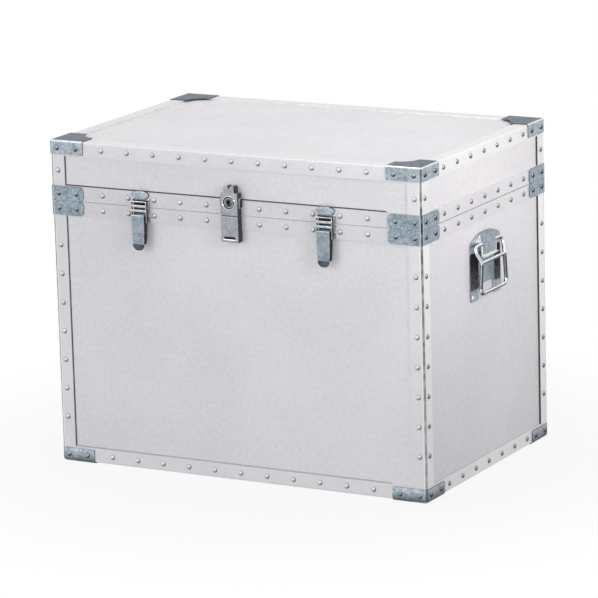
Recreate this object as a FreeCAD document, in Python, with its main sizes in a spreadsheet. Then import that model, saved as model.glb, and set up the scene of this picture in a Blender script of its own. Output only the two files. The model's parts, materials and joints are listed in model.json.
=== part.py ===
"""A storage trunk: boards faced with sheet metal, riveted edging, pressed corner caps.

Millimetres, +Z up. The origin is the middle of the plane that the feet stand on.
The front, with the latches and the lock, faces -Y, and the hinges are at +Y.
"""
import FreeCAD
import Part
import Sketcher
import math
import os
import re

doc = FreeCAD.newDocument("storage_trunk")

# Driving sizes. Overall sizes are measured over the corner caps.
SIZES = {
    "trunk_width": 750,
    "trunk_depth": 500,
    "trunk_height": 600,
    "lid_height": 111,
    "seam_gap": 1.2,
    "lid_opening": 100,
    # boards, their sheet faces and the riveted edging
    "board_sheet": 7,
    "skin_sheet": 0.8,
    "strip_sheet": 2.5,
    "strip_width": 27,
    "strip_round": 3,
    "rim_width": 27,
    # pressed corner caps and the plates at the corners of the mouth
    "cap_sheet": 1.5,
    "foot_sheet": 2.5,
    "cap_leg": 69,
    "cap_height": 26,
    "cap_round": 3,
    "cap_lobe": 38,
    "plate_leg": 67,
    "plate_height": 26,
    "plate_round": 8,
    # rivets
    "rivet_head": 9.5,
    "rivet_rise": 2.6,
    "rivet_shank": 4.8,
    "rivet_pitch": 53.6,
    "rivet_fit": 0.05,
    "cap_rivet_inset": 15,
    "small_head": 6,
    "small_rise": 1.6,
    "small_shank": 3,
    "small_inset": 3.5,
    # sheet of the latches, handles and hinges, and the play of pins in their holes
    "hardware_sheet": 1.8,
    "pin_fit": 0.05,
    "side_play": 0.4,
    # draw latches
    "latch_spacing": 375.2,
    "latch_base": 40,
    "latch_drop": 15.4,
    "latch_stand": 9,
    "latch_pin": 4,
    "latch_ear": 3.4,
    "ear_gap": 15,
    "lever_width": 24,
    "lever_tip": 20,
    "lever_reach": 59,
    "lever_rise": 4,
    "lever_sheet": 1.5,
    "lever_face": 6,
    "lever_cheek": 22,
    "lever_depth": 5,
    "lever_roll": 4,
    "loop_rod": 3.6,
    "loop_arm": 8,
    "loop_over": 0.5,
    "shelf_height": 8,
    "shelf_sheet": 2.5,
    "shelf_width": 20,
    "shelf_lip": 3.5,
    "loop_play": 0.3,
    "boss_width": 24,
    "boss_height": 15,
    "boss_rise": 7,
    "boss_gap": 1,
    # key lock
    "lock_width": 36,
    "lock_stand": 10,
    "lock_upper": 46,
    "lock_lower": 47,
    "lock_crown": 10,
    "crown_width": 22,
    "lock_round": 3,
    "plug_height": 23.5,
    "plug_width": 14,
    "plug_proud": 1,
    "ring_width": 20,
    "ring_proud": 1.5,
    "key_slot": 2,
    "key_slot_length": 9,
    "key_slot_depth": 4,
    "cam_pin": 3,
    "cam_throw": 3,
    "cam_play": 0.3,
    "bolt_sheet": 2.4,
    "bolt_play": 0.4,
    "bolt_back": 1.8,
    "bolt_width": 18,
    "bolt_tail": 6,
    "bolt_hook": 6,
    "hook_sheet": 4,
    "hook_drop": 13,
    "catch_wall": 6,
    "catch_depth": 15.5,
    "slot_width": 20,
    "slot_height": 3,
    "slot_depth": 3,
    "slot_rise": 6,
    # bail handles
    "handle_gap": 20.4,
    "handle_width": 124,
    "handle_drop": 100,
    "handle_rise": 21,
    "handle_crown": 10,
    "strap_width": 60,
    "strap_stand": 10,
    "strap_drop": 22,
    "strap_slope": 14,
    "bail_rod": 6,
    "bail_stand": 5.5,
    "bail_shoulder": 120,
    "bail_width": 106,
    "bail_out": 10.5,
    "bail_bar_drop": 29,
    "bail_drop": 85,
    "bail_bend": 9,
    "handle_rivet_inset": 9,
    "handle_rivet_drop": 18,
    # hinges
    "hinge_spacing": 400,
    "hinge_width": 80,
    "hinge_leaf": 24,
    "hinge_pin": 5,
    "hinge_barrel": 10,
    "hinge_play": 0.4,
    "hinge_rivet_pitch": 28,
    # lid stays
    "stay_reach": 140,
    "stay_rise": 30,
    "stay_bar": 16,
    "stay_sheet": 2,
    "stay_pin": 6,
    "stay_spacer": 10,
    "stay_head": 12,
    "stay_head_sheet": 1.6,
    "stay_stand": 2.8,
    "stay_end": 10,
}

# Places and sizes that follow from the driving sizes.
# The layers of a wall are, from outside: cap, strip, skin, board.
PLANES = {
    "cap_x": "trunk_width / 2",
    "cap_y": "trunk_depth / 2",
    "strip_x": "cap_x - cap_sheet",
    "strip_y": "cap_y - cap_sheet",
    "strip_low": "foot_sheet",
    "strip_top": "trunk_height - cap_sheet",
    "skin_x": "strip_x - strip_sheet",
    "skin_y": "strip_y - strip_sheet",
    "skin_low": "strip_low + strip_sheet",
    "skin_top": "strip_top - strip_sheet",
    "board_x": "skin_x - skin_sheet",
    "board_y": "skin_y - skin_sheet",
    "board_low": "skin_low + skin_sheet",
    "board_top": "skin_top - skin_sheet",
    "inner_x": "board_x - board_sheet",
    "inner_y": "board_y - board_sheet",
    "inner_low": "board_low + board_sheet",
    "inner_top": "board_top - board_sheet",
    "seam_height": "trunk_height - lid_height",
    "case_rim": "seam_height - seam_gap / 2",
    "lid_rim": "seam_height + seam_gap / 2",
    "wall_top": "case_rim - strip_sheet",
    "wall_low": "lid_rim + strip_sheet",
    # the part of a strip that runs between the corner posts
    "run_x": "strip_x - strip_width",
    "run_y": "strip_y - strip_width",
    # latch axes: the lever turns on the pivot, the loop on the lever
    "latch_x": "latch_spacing / 2",
    "pivot_y": "-strip_y - latch_stand",
    "pivot_z": "case_rim - latch_drop",
    "loop_y": "pivot_y + loop_over",
    "loop_z": "pivot_z - loop_arm",
    "loop_x": "lever_width / 2 + side_play + loop_rod / 2",
    "shelf_top": "lid_rim + shelf_height",
    "bar_z": "shelf_top + loop_play + loop_rod / 2",
    "boss_low": "bar_z + loop_rod / 2 + boss_gap",
    # lock axis and the layers inside it
    "plug_z": "lid_rim + plug_height",
    "lock_y": "-strip_y - lock_stand",
    "bolt_y": "-strip_y - bolt_back",
    "bolt_front": "bolt_y - bolt_sheet",
    "hook_x": "-bolt_width / 2 + bolt_tail + bolt_hook",
    "catch_x": "hook_x + cam_throw / 2",
    # handle axis on the right side
    "handle_face": "skin_x + hardware_sheet",
    "handle_height": "case_rim - rim_width - handle_gap - handle_rise",
    "bail_x": "handle_face + bail_stand",
    "crown_radius": "(handle_width^2 / 4 + handle_crown^2) / (2 * handle_crown)",
    # hinge axis, and the lid stays' pivots: both are as far from the hinge axis
    "hinge_x": "hinge_spacing / 2",
    "hinge_y": "strip_y + hinge_barrel / 2 + hinge_play",
    "knuckle": "hinge_width / 5",
    "stay_y": "hinge_y - stay_reach",
    "stay_high": "seam_height + stay_rise",
    "stay_low": "seam_height - stay_rise",
    "stay_radius": "sqrt(stay_reach^2 + stay_rise^2)",
    "stay_open": "2 * stay_radius * sin(lid_opening / 2 * 1 deg + atan(stay_rise / stay_reach))",
    "stay_x": "inner_x - stay_stand - side_play / 2",
}

WORD = re.compile(r"[a-z][a-z0-9_]*")


def bound(formula, home=""):
    """The formula with each size and plane named by the sheet that holds it."""
    def owner(match):
        word = match.group()
        if word in SIZES:
            return "Sizes." + word
        if word in PLANES:
            return home + word
        return word
    return WORD.sub(owner, formula)


def fill_sheet(name, cells):
    sheet = doc.addObject("Spreadsheet::Sheet", name)
    for row, (alias, content) in enumerate(cells.items(), start=1):
        sheet.set(f"A{row}", alias)
        sheet.set(f"B{row}", content)
        sheet.setAlias(f"B{row}", alias)
    doc.recompute()
    return sheet


sizes = fill_sheet("Sizes", {alias: str(number) for alias, number in SIZES.items()})
planes = fill_sheet("Planes", {alias: "=" + bound(text) for alias, text in PLANES.items()})


def num(name):
    """The present value of a size or plane."""
    return float(getattr(sizes if name in SIZES else planes, name))


def bind(thing, path, formula):
    thing.setExpression(path, bound(formula, "Planes."))


# Building blocks

TURN_TO = {
    "x": FreeCAD.Rotation(FreeCAD.Vector(0, 1, 0), 90),
    "y": FreeCAD.Rotation(FreeCAD.Vector(1, 0, 0), -90),
    "z": FreeCAD.Rotation(),
}


def box(name, low, high):
    """A block between two opposite corners, each a triple of formulas."""
    block = doc.addObject("Part::Box", name)
    for side, axis, start, end in zip(("Length", "Width", "Height"), "xyz", low, high):
        bind(block, side, f"({end}) - ({start})")
        bind(block, f"Placement.Base.{axis}", start)
    return block


def cylinder(name, axis, start, length, diameter):
    """A round bar that starts at a point and runs along one axis."""
    bar = doc.addObject("Part::Cylinder", name)
    bar.Placement = FreeCAD.Placement(FreeCAD.Vector(), TURN_TO[axis])
    bind(bar, "Radius", f"({diameter}) / 2")
    bind(bar, "Height", length)
    for letter, place in zip("xyz", start):
        bind(bar, f"Placement.Base.{letter}", place)
    return bar


def ball(name, centre, diameter):
    sphere = doc.addObject("Part::Sphere", name)
    bind(sphere, "Radius", f"({diameter}) / 2")
    for letter, place in zip("xyz", centre):
        bind(sphere, f"Placement.Base.{letter}", place)
    return sphere


def fuse(name, *pieces):
    union = doc.addObject("Part::MultiFuse", name)
    union.Shapes = list(pieces)
    union.Refine = True
    return union


def cut(name, piece, *tools):
    """The piece less each of the tools in turn."""
    for step, tool in enumerate(tools, start=1):
        result = doc.addObject("Part::Cut", name if step == len(tools) else f"{name}_cut_{step}")
        result.Base = piece
        result.Tool = tool
        piece = result
    return piece


def common(name, piece, other):
    overlap = doc.addObject("Part::Common", name)
    overlap.Base = piece
    overlap.Tool = other
    return overlap


def mirrored(name, piece, axis):
    twin = doc.addObject("Part::Mirroring", name)
    twin.Source = piece
    twin.Normal = FreeCAD.Vector(axis == "x", axis == "y", axis == "z")
    return twin


def group(name, *pieces):
    """Separate solids that share one node."""
    together = doc.addObject("Part::Compound", name)
    together.Links = list(pieces)
    return together


def pair(name, piece, axis):
    return group(name, piece, mirrored(f"{name}_twin", piece, axis))


def at_four_corners(name, piece):
    return pair(name, pair(f"{name}_front", piece, "x"), "y")


def rounded(name, piece, radius, wanted):
    """The piece with the straight edges that are wanted rounded off."""
    doc.recompute()
    edges = enumerate(piece.Shape.Edges, start=1)
    fillet = doc.addObject("Part::Fillet", name)
    fillet.Base = piece
    fillet.Edges = [(index, radius, radius) for index, edge in edges if wanted(edge)]
    return fillet


def lies_along(edge, axis, **places):
    """True for a straight edge along the axis whose other coordinates are these."""
    if not isinstance(edge.Curve, Part.Line):
        return False
    middle = edge.CenterOfMass
    heading = edge.tangentAt(edge.FirstParameter)
    straight = abs(getattr(heading, axis)) > 0.999
    return straight and all(abs(getattr(middle, letter) - place) < 0.01 for letter, place in places.items())


def profile(name, plane, outline, thickness):
    """A plate: a closed outline of formula pairs, sketched on a plane and padded."""
    body = doc.addObject("PartDesign::Body", name)
    sketch = body.newObject("Sketcher::SketchObject", f"{name}_outline")
    role = f"{plane}_Plane"
    origin_plane = [item for item in body.Origin.OriginFeatures if item.Role == role][0]
    sketch.AttachmentSupport = [(origin_plane, "")]
    sketch.MapMode = "FlatFace"
    corners = len(outline)
    turn = 2 * math.pi / corners
    points = [FreeCAD.Vector(math.cos(turn * i), math.sin(turn * i), 0) for i in range(corners)]
    for i in range(corners):
        sketch.addGeometry(Part.LineSegment(points[i], points[(i + 1) % corners]), False)
    for i in range(corners):
        sketch.addConstraint(Sketcher.Constraint("Coincident", i, 2, (i + 1) % corners, 1))
    for i, place in enumerate(outline):
        for kind, formula in zip(("DistanceX", "DistanceY"), place):
            index = sketch.addConstraint(Sketcher.Constraint(kind, i, 1, 1.0))
            label = f"{kind}_{i}"
            sketch.renameConstraint(index, label)
            bind(sketch, f"Constraints.{label}", formula)
    pad = body.newObject("PartDesign::Pad", f"{name}_pad")
    pad.Profile = sketch
    bind(pad, "Length", thickness)
    return body


nodes = []


def node(label, piece):
    """Name a finished piece and keep it for the output."""
    piece.Label = label
    nodes.append(piece)
    return piece


# Rivets: a dome head on the sheet, a shank through it

UP = FreeCAD.Vector(0, 0, 1)
FACES = {
    "front": FreeCAD.Vector(0, -1, 0),
    "back": FreeCAD.Vector(0, 1, 0),
    "right": FreeCAD.Vector(1, 0, 0),
    "left": FreeCAD.Vector(-1, 0, 0),
}
DRILL_OVERRUN = "1"


def rivet(name, head, rise, shank, grip):
    dome = doc.addObject("Part::Sphere", f"{name}_dome")
    radius = f"(({head})^2 / 4 + ({rise})^2) / (2 * ({rise}))"
    bind(dome, "Radius", radius)
    bind(dome, "Angle1", f"asin(1 - ({rise}) / ({radius}))")
    bind(dome, "Placement.Base.z", f"({rise}) - {radius}")
    tail = cylinder(f"{name}_shank", "z", ("0", "0", f"-({grip})"), grip, shank)
    return fuse(name, dome, tail)


def drill(name, shank, grip):
    length = f"{grip} + 2 * {DRILL_OVERRUN}"
    start = ("0", "0", f"-{grip} - {DRILL_OVERRUN}")
    return cylinder(name, "z", start, length, f"{shank} + 2 * rivet_fit")


RIVETS = {
    "strip": rivet("strip_rivet", "rivet_head", "rivet_rise", "rivet_shank", "strip_sheet"),
    "cap": rivet("cap_rivet", "rivet_head", "rivet_rise", "rivet_shank", "cap_sheet"),
    "small": rivet("small_rivet", "small_head", "small_rise", "small_shank", "hardware_sheet"),
}
DRILLS = {
    "strip": drill("strip_drill", "rivet_shank", "strip_sheet"),
    "cap": drill("cap_drill", "rivet_shank", "cap_sheet"),
    "small": drill("small_drill", "small_shank", "hardware_sheet"),
}
doc.recompute()


def spot(x, y, z, face):
    """Where a rivet's head seats, and which way it faces."""
    return FreeCAD.Placement(FreeCAD.Vector(x, y, z), FreeCAD.Rotation(UP, FACES[face]))


def copies(master, spots):
    shapes = []
    for place in spots:
        shape = master.Shape.copy()
        shape.Placement = place.multiply(shape.Placement)
        shapes.append(shape)
    return shapes


def drilled(name, piece, kind, spots):
    """The piece with a rivet hole at each spot."""
    holes = doc.addObject("Part::Feature", f"{name}_holes")
    holes.Shape = Part.makeCompound(copies(DRILLS[kind], spots))
    return cut(f"{name}_drilled", piece, holes)


rivet_shapes = {"case": [], "lid": []}


def riveted(label, owner, piece, kind, spots):
    """A finished node with its holes, whose rivets go to the case's or the lid's set."""
    rivet_shapes[owner].extend(copies(RIVETS[kind], spots))
    return node(label, drilled(label, piece, kind, spots))


def centred_row(half_length):
    count = math.floor((half_length - num("rivet_head") / 2) / num("rivet_pitch"))
    return [step * num("rivet_pitch") for step in range(-count, count + 1)]


def clear_of(places, *fittings):
    """The places of a row that no fitting covers; a fitting is its middle and its width."""
    margin = num("rivet_head") / 2
    return [
        place for place in places
        if all(abs(place - middle) > width / 2 + margin for middle, width in fittings)
    ]


def long_row(z, front_fittings=(), back_fittings=()):
    places = centred_row(num("cap_x") - num("cap_leg"))
    front = [spot(x, -num("strip_y"), z, "front") for x in clear_of(places, *front_fittings)]
    back = [spot(x, num("strip_y"), z, "back") for x in clear_of(places, *back_fittings)]
    return front + back


def side_row(z):
    places = centred_row(num("cap_y") - num("cap_leg"))
    right = [spot(num("strip_x"), y, z, "right") for y in places]
    left = [spot(-num("strip_x"), y, z, "left") for y in places]
    return right + left


def corner_spots(reaches, plane_x, plane_y, heights):
    """Spots on both legs of each corner, at some distances from the corner's edge."""
    spots = []
    for z in heights:
        for reach in reaches:
            for sign_x, side in ((1, "right"), (-1, "left")):
                for sign_y, end in ((-1, "front"), (1, "back")):
                    spots.append(spot(sign_x * (plane_x - reach), sign_y * plane_y, z, end))
                    spots.append(spot(sign_x * plane_x, sign_y * (plane_y - reach), z, side))
    return spots


# Boards and their sheet faces

def wall(name, x, y, z):
    """A flat layer; x, y and z are each a pair of formulas."""
    return node(name, box(name, (x[0], y[0], z[0]), (x[1], y[1], z[1])))


def four_walls(prefix, suffix, z, outer, inner, side_y, end_x):
    """Front, back, left and right layers between an outer and an inner plane."""
    outer_x, outer_y = outer
    inner_x, inner_y = inner
    ends = (f"-{end_x}", end_x)
    sides = (f"-{side_y}", side_y)
    wall(f"{prefix}front_{suffix}", ends, (f"-{outer_y}", f"-{inner_y}"), z)
    wall(f"{prefix}back_{suffix}", ends, (inner_y, outer_y), z)
    wall(f"{prefix}left_{suffix}", (f"-{outer_x}", f"-{inner_x}"), sides, z)
    wall(f"{prefix}right_{suffix}", (inner_x, outer_x), sides, z)


BOARD = ("board_x", "board_y")
SKIN = ("skin_x", "skin_y")
INNER = ("inner_x", "inner_y")
INSIDE_X = ("-inner_x", "inner_x")
INSIDE_Y = ("-inner_y", "inner_y")
BOARD_X = ("-board_x", "board_x")
BOARD_Y = ("-board_y", "board_y")

wall("bottom_board", INSIDE_X, INSIDE_Y, ("board_low", "inner_low"))
wall("bottom_skin", BOARD_X, BOARD_Y, ("skin_low", "board_low"))
four_walls("", "board", ("board_low", "wall_top"), BOARD, INNER, "inner_y", "board_x")
four_walls("", "skin", ("board_low", "wall_top"), SKIN, BOARD, "board_y", "skin_x")

wall("lid_top_board", INSIDE_X, INSIDE_Y, ("inner_top", "board_top"))
wall("lid_top_skin", BOARD_X, BOARD_Y, ("board_top", "skin_top"))
four_walls("lid_", "board", ("wall_low", "board_top"), BOARD, INNER, "inner_y", "board_x")
four_walls("lid_", "skin", ("wall_low", "board_top"), SKIN, BOARD, "board_y", "skin_x")


# Edge angles

def post(name, low, high):
    """An upright angle on the front right corner."""
    front = box(f"{name}_front", ("run_x", "-strip_y", low), ("strip_x", "-skin_y", high))
    side = box(f"{name}_side", ("skin_x", "-strip_y", low), ("strip_x", "-run_y", high))
    angle = fuse(f"{name}_angle", front, side)
    return rounded(
        f"{name}_rounded", angle, num("strip_round"),
        lambda edge: lies_along(edge, "z", x=num("strip_x"), y=-num("strip_y")),
    )


def edge_angles(name, outer_z, skin_z, leg_z):
    """The four angles that run along the top or the bottom edges, between the posts."""
    low_leg, high_leg = leg_z
    low_flat, high_flat = skin_z
    front = fuse(
        f"{name}_front",
        box(f"{name}_front_leg", ("-run_x", "-strip_y", low_leg), ("run_x", "-skin_y", high_leg)),
        box(f"{name}_front_flat", ("-run_x", "-strip_y", low_flat), ("run_x", "-run_y", high_flat)),
    )
    right = fuse(
        f"{name}_right",
        box(f"{name}_right_leg", ("skin_x", "-run_y", low_leg), ("strip_x", "run_y", high_leg)),
        box(f"{name}_right_flat", ("run_x", "-run_y", low_flat), ("strip_x", "run_y", high_flat)),
    )
    corner = num(outer_z)
    round_front = rounded(
        f"{name}_front_rounded", front, num("strip_round"),
        lambda edge: lies_along(edge, "x", y=-num("strip_y"), z=corner),
    )
    round_right = rounded(
        f"{name}_right_rounded", right, num("strip_round"),
        lambda edge: lies_along(edge, "y", x=num("strip_x"), z=corner),
    )
    return group(name, pair(f"{name}_long", round_front, "y"), pair(f"{name}_short", round_right, "x"))


def rim_angles(name, leg_z, flat_z):
    """The four angles round a mouth: a strip outside and a flat over the wall's edge."""
    low_leg, high_leg = leg_z
    low_flat, high_flat = flat_z
    front = fuse(
        f"{name}_front",
        box(f"{name}_front_leg", ("-run_x", "-strip_y", low_leg), ("run_x", "-skin_y", high_leg)),
        box(f"{name}_front_flat", ("-strip_x", "-strip_y", low_flat), ("strip_x", "-inner_y", high_flat)),
    )
    right = fuse(
        f"{name}_right",
        box(f"{name}_right_leg", ("skin_x", "-run_y", low_leg), ("strip_x", "run_y", high_leg)),
        box(f"{name}_right_flat", ("inner_x", "-inner_y", low_flat), ("strip_x", "inner_y", high_flat)),
    )
    return group(name, pair(f"{name}_long", front, "y"), pair(f"{name}_short", right, "x"))


latch_fittings = [(side * num("latch_x"), num("latch_base")) for side in (-1, 1)]
lock_fitting = (0, num("lock_width"))
hinge_fittings = [(side * num("hinge_x"), num("hinge_width")) for side in (-1, 1)]
front_fittings = latch_fittings + [lock_fitting]

half_strip = num("strip_width") / 2
half_rim = num("rim_width") / 2
post_middle = (num("strip_low") + num("strip_width") + num("case_rim") - num("rim_width")) / 2
post_half = (num("case_rim") - num("rim_width") - num("strip_low") - num("strip_width")) / 2
post_heights = [post_middle + step for step in centred_row(post_half)]
lid_post_height = (num("lid_rim") + num("rim_width") + num("strip_top") - num("strip_width")) / 2

riveted(
    "corner_posts", "case", at_four_corners("posts", post("post", "strip_low", "wall_top")), "strip",
    corner_spots([half_strip], num("strip_x"), num("strip_y"), post_heights),
)
riveted(
    "lid_posts", "lid", at_four_corners("lid_corner", post("lid_post", "wall_low", "strip_top")), "strip",
    corner_spots([half_strip], num("strip_x"), num("strip_y"), [lid_post_height]),
)
bottom_row = num("strip_low") + half_strip
riveted(
    "bottom_edges", "case",
    edge_angles(
        "bottom_angles", "strip_low", ("strip_low", "skin_low"), ("strip_low", "strip_low + strip_width"),
    ),
    "strip", long_row(bottom_row) + side_row(bottom_row),
)
top_row = num("strip_top") - half_strip
riveted(
    "lid_edges", "lid",
    edge_angles(
        "top_angles", "strip_top", ("skin_top", "strip_top"), ("strip_top - strip_width", "strip_top"),
    ),
    "strip", long_row(top_row) + side_row(top_row),
)
case_row = num("case_rim") - half_rim
riveted(
    "case_rims", "case",
    rim_angles("case_rim_angles", ("case_rim - rim_width", "case_rim"), ("wall_top", "case_rim")),
    "strip", long_row(case_row, front_fittings, hinge_fittings) + side_row(case_row),
)
lid_row = num("lid_rim") + half_rim
riveted(
    "lid_rims", "lid",
    rim_angles("lid_rim_angles", ("lid_rim", "lid_rim + rim_width"), ("lid_rim", "wall_low")),
    "strip", long_row(lid_row, front_fittings, hinge_fittings) + side_row(lid_row),
)


# Pressed corner caps and mouth corner plates

def corner_shell(name, leg, low, high, inner_low, inner_high):
    """Sheet legs round the front right corner, open where the inner block runs past the outer."""
    outer = box(
        f"{name}_outer", (f"cap_x - {leg}", "-cap_y", low), ("cap_x", f"{leg} - cap_y", high),
    )
    inner = box(
        f"{name}_inner",
        (f"cap_x - 2 * {leg}", "-strip_y", inner_low), ("strip_x", f"2 * {leg} - cap_y", inner_high),
    )
    return cut(f"{name}_shell", outer, inner)


def corner_cap(name, low, high, inner_low, inner_high, outer_z):
    """A three-legged cap whose flat leg has two lobes with a hollow between them."""
    shell = corner_shell(name, "cap_leg", low, high, inner_low, inner_high)
    hollow = cylinder(
        f"{name}_hollow", "z", ("cap_x - cap_leg", "cap_leg - cap_y", low),
        "cap_height", "2 * (cap_leg - cap_lobe)",
    )
    lobed = cut(f"{name}_lobed", shell, hollow)
    corner = num(outer_z)

    def outer_edge(edge):
        return (
            lies_along(edge, "z", x=num("cap_x"), y=-num("cap_y"))
            or lies_along(edge, "x", y=-num("cap_y"), z=corner)
            or lies_along(edge, "y", x=num("cap_x"), z=corner)
        )
    return rounded(f"{name}_rounded", lobed, num("cap_round"), outer_edge)


def corner_plate(name, low, high):
    """A two-legged plate at a corner of the mouth, with round ends."""
    beyond = "plate_height"
    shell = corner_shell(name, "plate_leg", low, high, f"{low} - {beyond}", f"{high} + {beyond}")
    end_x = num("cap_x") - num("plate_leg")
    end_y = num("plate_leg") - num("cap_y")
    ends = rounded(
        f"{name}_ends", shell, num("plate_round"),
        lambda edge: lies_along(edge, "y", x=end_x) or lies_along(edge, "x", y=end_y),
    )
    return rounded(
        f"{name}_rounded", ends, num("cap_round"),
        lambda edge: lies_along(edge, "z", x=num("cap_x"), y=-num("cap_y")),
    )


cap_reaches = [num("cap_rivet_inset"), num("cap_leg") - num("cap_rivet_inset")]
plate_reaches = [num("cap_rivet_inset"), num("plate_leg") - num("cap_rivet_inset")]


def cap_spots(reaches, z):
    return corner_spots(reaches, num("cap_x"), num("cap_y"), [z])


riveted(
    "bottom_corner_caps", "case",
    at_four_corners("bottom_caps", corner_cap(
        "bottom_cap", "0", "cap_height", "foot_sheet", "2 * cap_height", "strip_low")), "cap",
    cap_spots(cap_reaches, (num("foot_sheet") + num("cap_height")) / 2),
)
riveted(
    "lid_corner_caps", "lid",
    at_four_corners("top_caps", corner_cap(
        "top_cap", "trunk_height - cap_height", "trunk_height",
        "trunk_height - 2 * cap_height", "strip_top", "trunk_height")), "cap",
    cap_spots(cap_reaches, num("strip_top") - num("cap_height") / 2),
)
riveted(
    "case_rim_corners", "case",
    at_four_corners("case_plates", corner_plate("case_plate", "case_rim - plate_height", "case_rim")),
    "cap", cap_spots(plate_reaches, num("case_rim") - num("plate_height") / 2),
)
riveted(
    "lid_rim_corners", "lid",
    at_four_corners("lid_plates", corner_plate("lid_plate", "lid_rim", "lid_rim + plate_height")),
    "cap", cap_spots(plate_reaches, num("lid_rim") + num("plate_height") / 2),
)


# Draw latches, made on the right and mirrored to the left

def both_sides(label, piece):
    """A node on the right, and its twin on the left."""
    node(f"right_{label}", piece)
    node(f"left_{label}", mirrored(f"left_{label}", piece, "x"))


def latch_spots(z):
    reach = num("latch_base") / 2 - num("small_inset")
    face = -num("strip_y") - num("hardware_sheet")
    return [spot(num("latch_x") + side * reach, face, z, "front") for side in (-1, 1)]


def mirrored_spots(spots):
    flipped = []
    for place in spots:
        x, y, z = place.Base
        heading = place.Rotation.multVec(UP)
        turn = FreeCAD.Rotation(UP, FreeCAD.Vector(-heading.x, heading.y, heading.z))
        flipped.append(FreeCAD.Placement(FreeCAD.Vector(-x, y, z), turn))
    return flipped


def riveted_both_sides(label, owner, piece, spots):
    rivet_shapes[owner].extend(copies(RIVETS["small"], spots + mirrored_spots(spots)))
    both_sides(label, drilled(f"right_{label}", piece, "small", spots))


LATCH_WEST = "latch_x - latch_base / 2"
LATCH_EAST = "latch_x + latch_base / 2"


def latch_ear(name, west):
    """An ear of the base: a flat with a round end about the pivot."""
    flat = box(
        f"{name}_flat", (west, "pivot_y", "pivot_z - latch_ear"),
        (f"{west} + hardware_sheet", "-strip_y", "pivot_z + latch_ear"),
    )
    end = cylinder(f"{name}_end", "x", (west, "pivot_y", "pivot_z"), "hardware_sheet", "2 * latch_ear")
    return fuse(name, flat, end)


def pivot_hole(name, centre, diameter, reach):
    """A hole along X through the latch, with a pin's play."""
    start = (f"latch_x - {reach}", centre[0], centre[1])
    return cylinder(name, "x", start, f"2 * {reach}", f"{diameter} + 2 * pin_fit")


def latch_base():
    plate = box(
        "latch_plate", (LATCH_WEST, "-strip_y - hardware_sheet", "case_rim - rim_width"),
        (LATCH_EAST, "-strip_y", "case_rim"),
    )
    ears = [
        latch_ear("latch_ear_west", "latch_x - ear_gap / 2 - hardware_sheet"),
        latch_ear("latch_ear_east", "latch_x + ear_gap / 2"),
    ]
    body = fuse("latch_base_body", plate, *ears)
    hole = pivot_hole("latch_base_hole", ("pivot_y", "pivot_z"), "latch_pin", "latch_base")
    return cut("latch_base_bored", body, hole)


def latch_lever():
    """A channel: a tapering face, two cheeks on the pivot and a rolled tip."""
    top = "pivot_z + lever_rise"
    shoulder = "pivot_z - lever_cheek"
    tip = "pivot_z - lever_reach + lever_roll"
    face = profile(
        "lever_plate", "XZ",
        [
            ("-lever_width / 2", top), ("-lever_width / 2", shoulder), ("-lever_tip / 2", tip),
            ("lever_tip / 2", tip), ("lever_width / 2", shoulder), ("lever_width / 2", top),
        ],
        "lever_sheet",
    )
    bind(face, "Placement.Base.x", "latch_x")
    bind(face, "Placement.Base.y", "pivot_y - lever_face + lever_sheet")
    cheeks = [
        box(
            f"lever_cheek_{side}", (west, "pivot_y - lever_face", shoulder),
            (f"{west} + lever_sheet", "pivot_y + lever_depth", top),
        )
        for side, west in (
            ("west", "latch_x - lever_width / 2"),
            ("east", "latch_x + lever_width / 2 - lever_sheet"),
        )
    ]
    roll = cylinder(
        "lever_tip_roll", "x",
        ("latch_x - lever_tip / 2", "pivot_y - lever_face + lever_roll", tip),
        "lever_tip", "2 * lever_roll",
    )
    body = fuse("lever_body", face, roll, *cheeks)
    return cut(
        "lever_bored", body,
        pivot_hole("lever_pin_hole", ("pivot_y", "pivot_z"), "latch_pin", "lever_width"),
        pivot_hole("lever_loop_hole", ("loop_y", "loop_z"), "loop_rod", "lever_width"),
    )


def latch_loop():
    """A closed loop of rod: its lower bar turns in the lever, its upper bar hooks the keeper."""
    west = "latch_x - loop_x"
    east = "latch_x + loop_x"
    parts = []
    for level, z in (("low", "loop_z"), ("high", "bar_z")):
        parts.append(cylinder(f"loop_{level}_bar", "x", (west, "loop_y", z), "2 * loop_x", "loop_rod"))
        for side, x in (("west", west), ("east", east)):
            parts.append(ball(f"loop_{level}_{side}", (x, "loop_y", z), "loop_rod"))
    for side, x in (("west", west), ("east", east)):
        start = (x, "loop_y", "loop_z")
        parts.append(cylinder(f"loop_leg_{side}", "z", start, "bar_z - loop_z", "loop_rod"))
    return fuse("loop_body", *parts)


def latch_keeper():
    """A plate on the lid with a shelf under the loop's bar and an oval boss above it."""
    plate = box(
        "keeper_plate", (LATCH_WEST, "-strip_y - hardware_sheet", "lid_rim"),
        (LATCH_EAST, "-strip_y", "lid_rim + rim_width"),
    )
    shelf = box(
        "keeper_shelf",
        ("latch_x - shelf_width / 2", "loop_y - shelf_lip", "shelf_top - shelf_sheet"),
        ("latch_x + shelf_width / 2", "-strip_y", "shelf_top"),
    )
    front = "-strip_y - hardware_sheet - boss_rise"
    half = "(boss_width - boss_height) / 2"
    boss_middle = box(
        "boss_middle", (f"latch_x - {half}", front, "boss_low"),
        (f"latch_x + {half}", "-strip_y", "boss_low + boss_height"),
    )
    centre_z = "boss_low + boss_height / 2"
    depth = "hardware_sheet + boss_rise"
    boss_west = cylinder("boss_west", "y", (f"latch_x - {half}", front, centre_z), depth, "boss_height")
    boss_east = cylinder("boss_east", "y", (f"latch_x + {half}", front, centre_z), depth, "boss_height")
    return fuse("keeper_body", plate, shelf, boss_middle, boss_west, boss_east)


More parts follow.
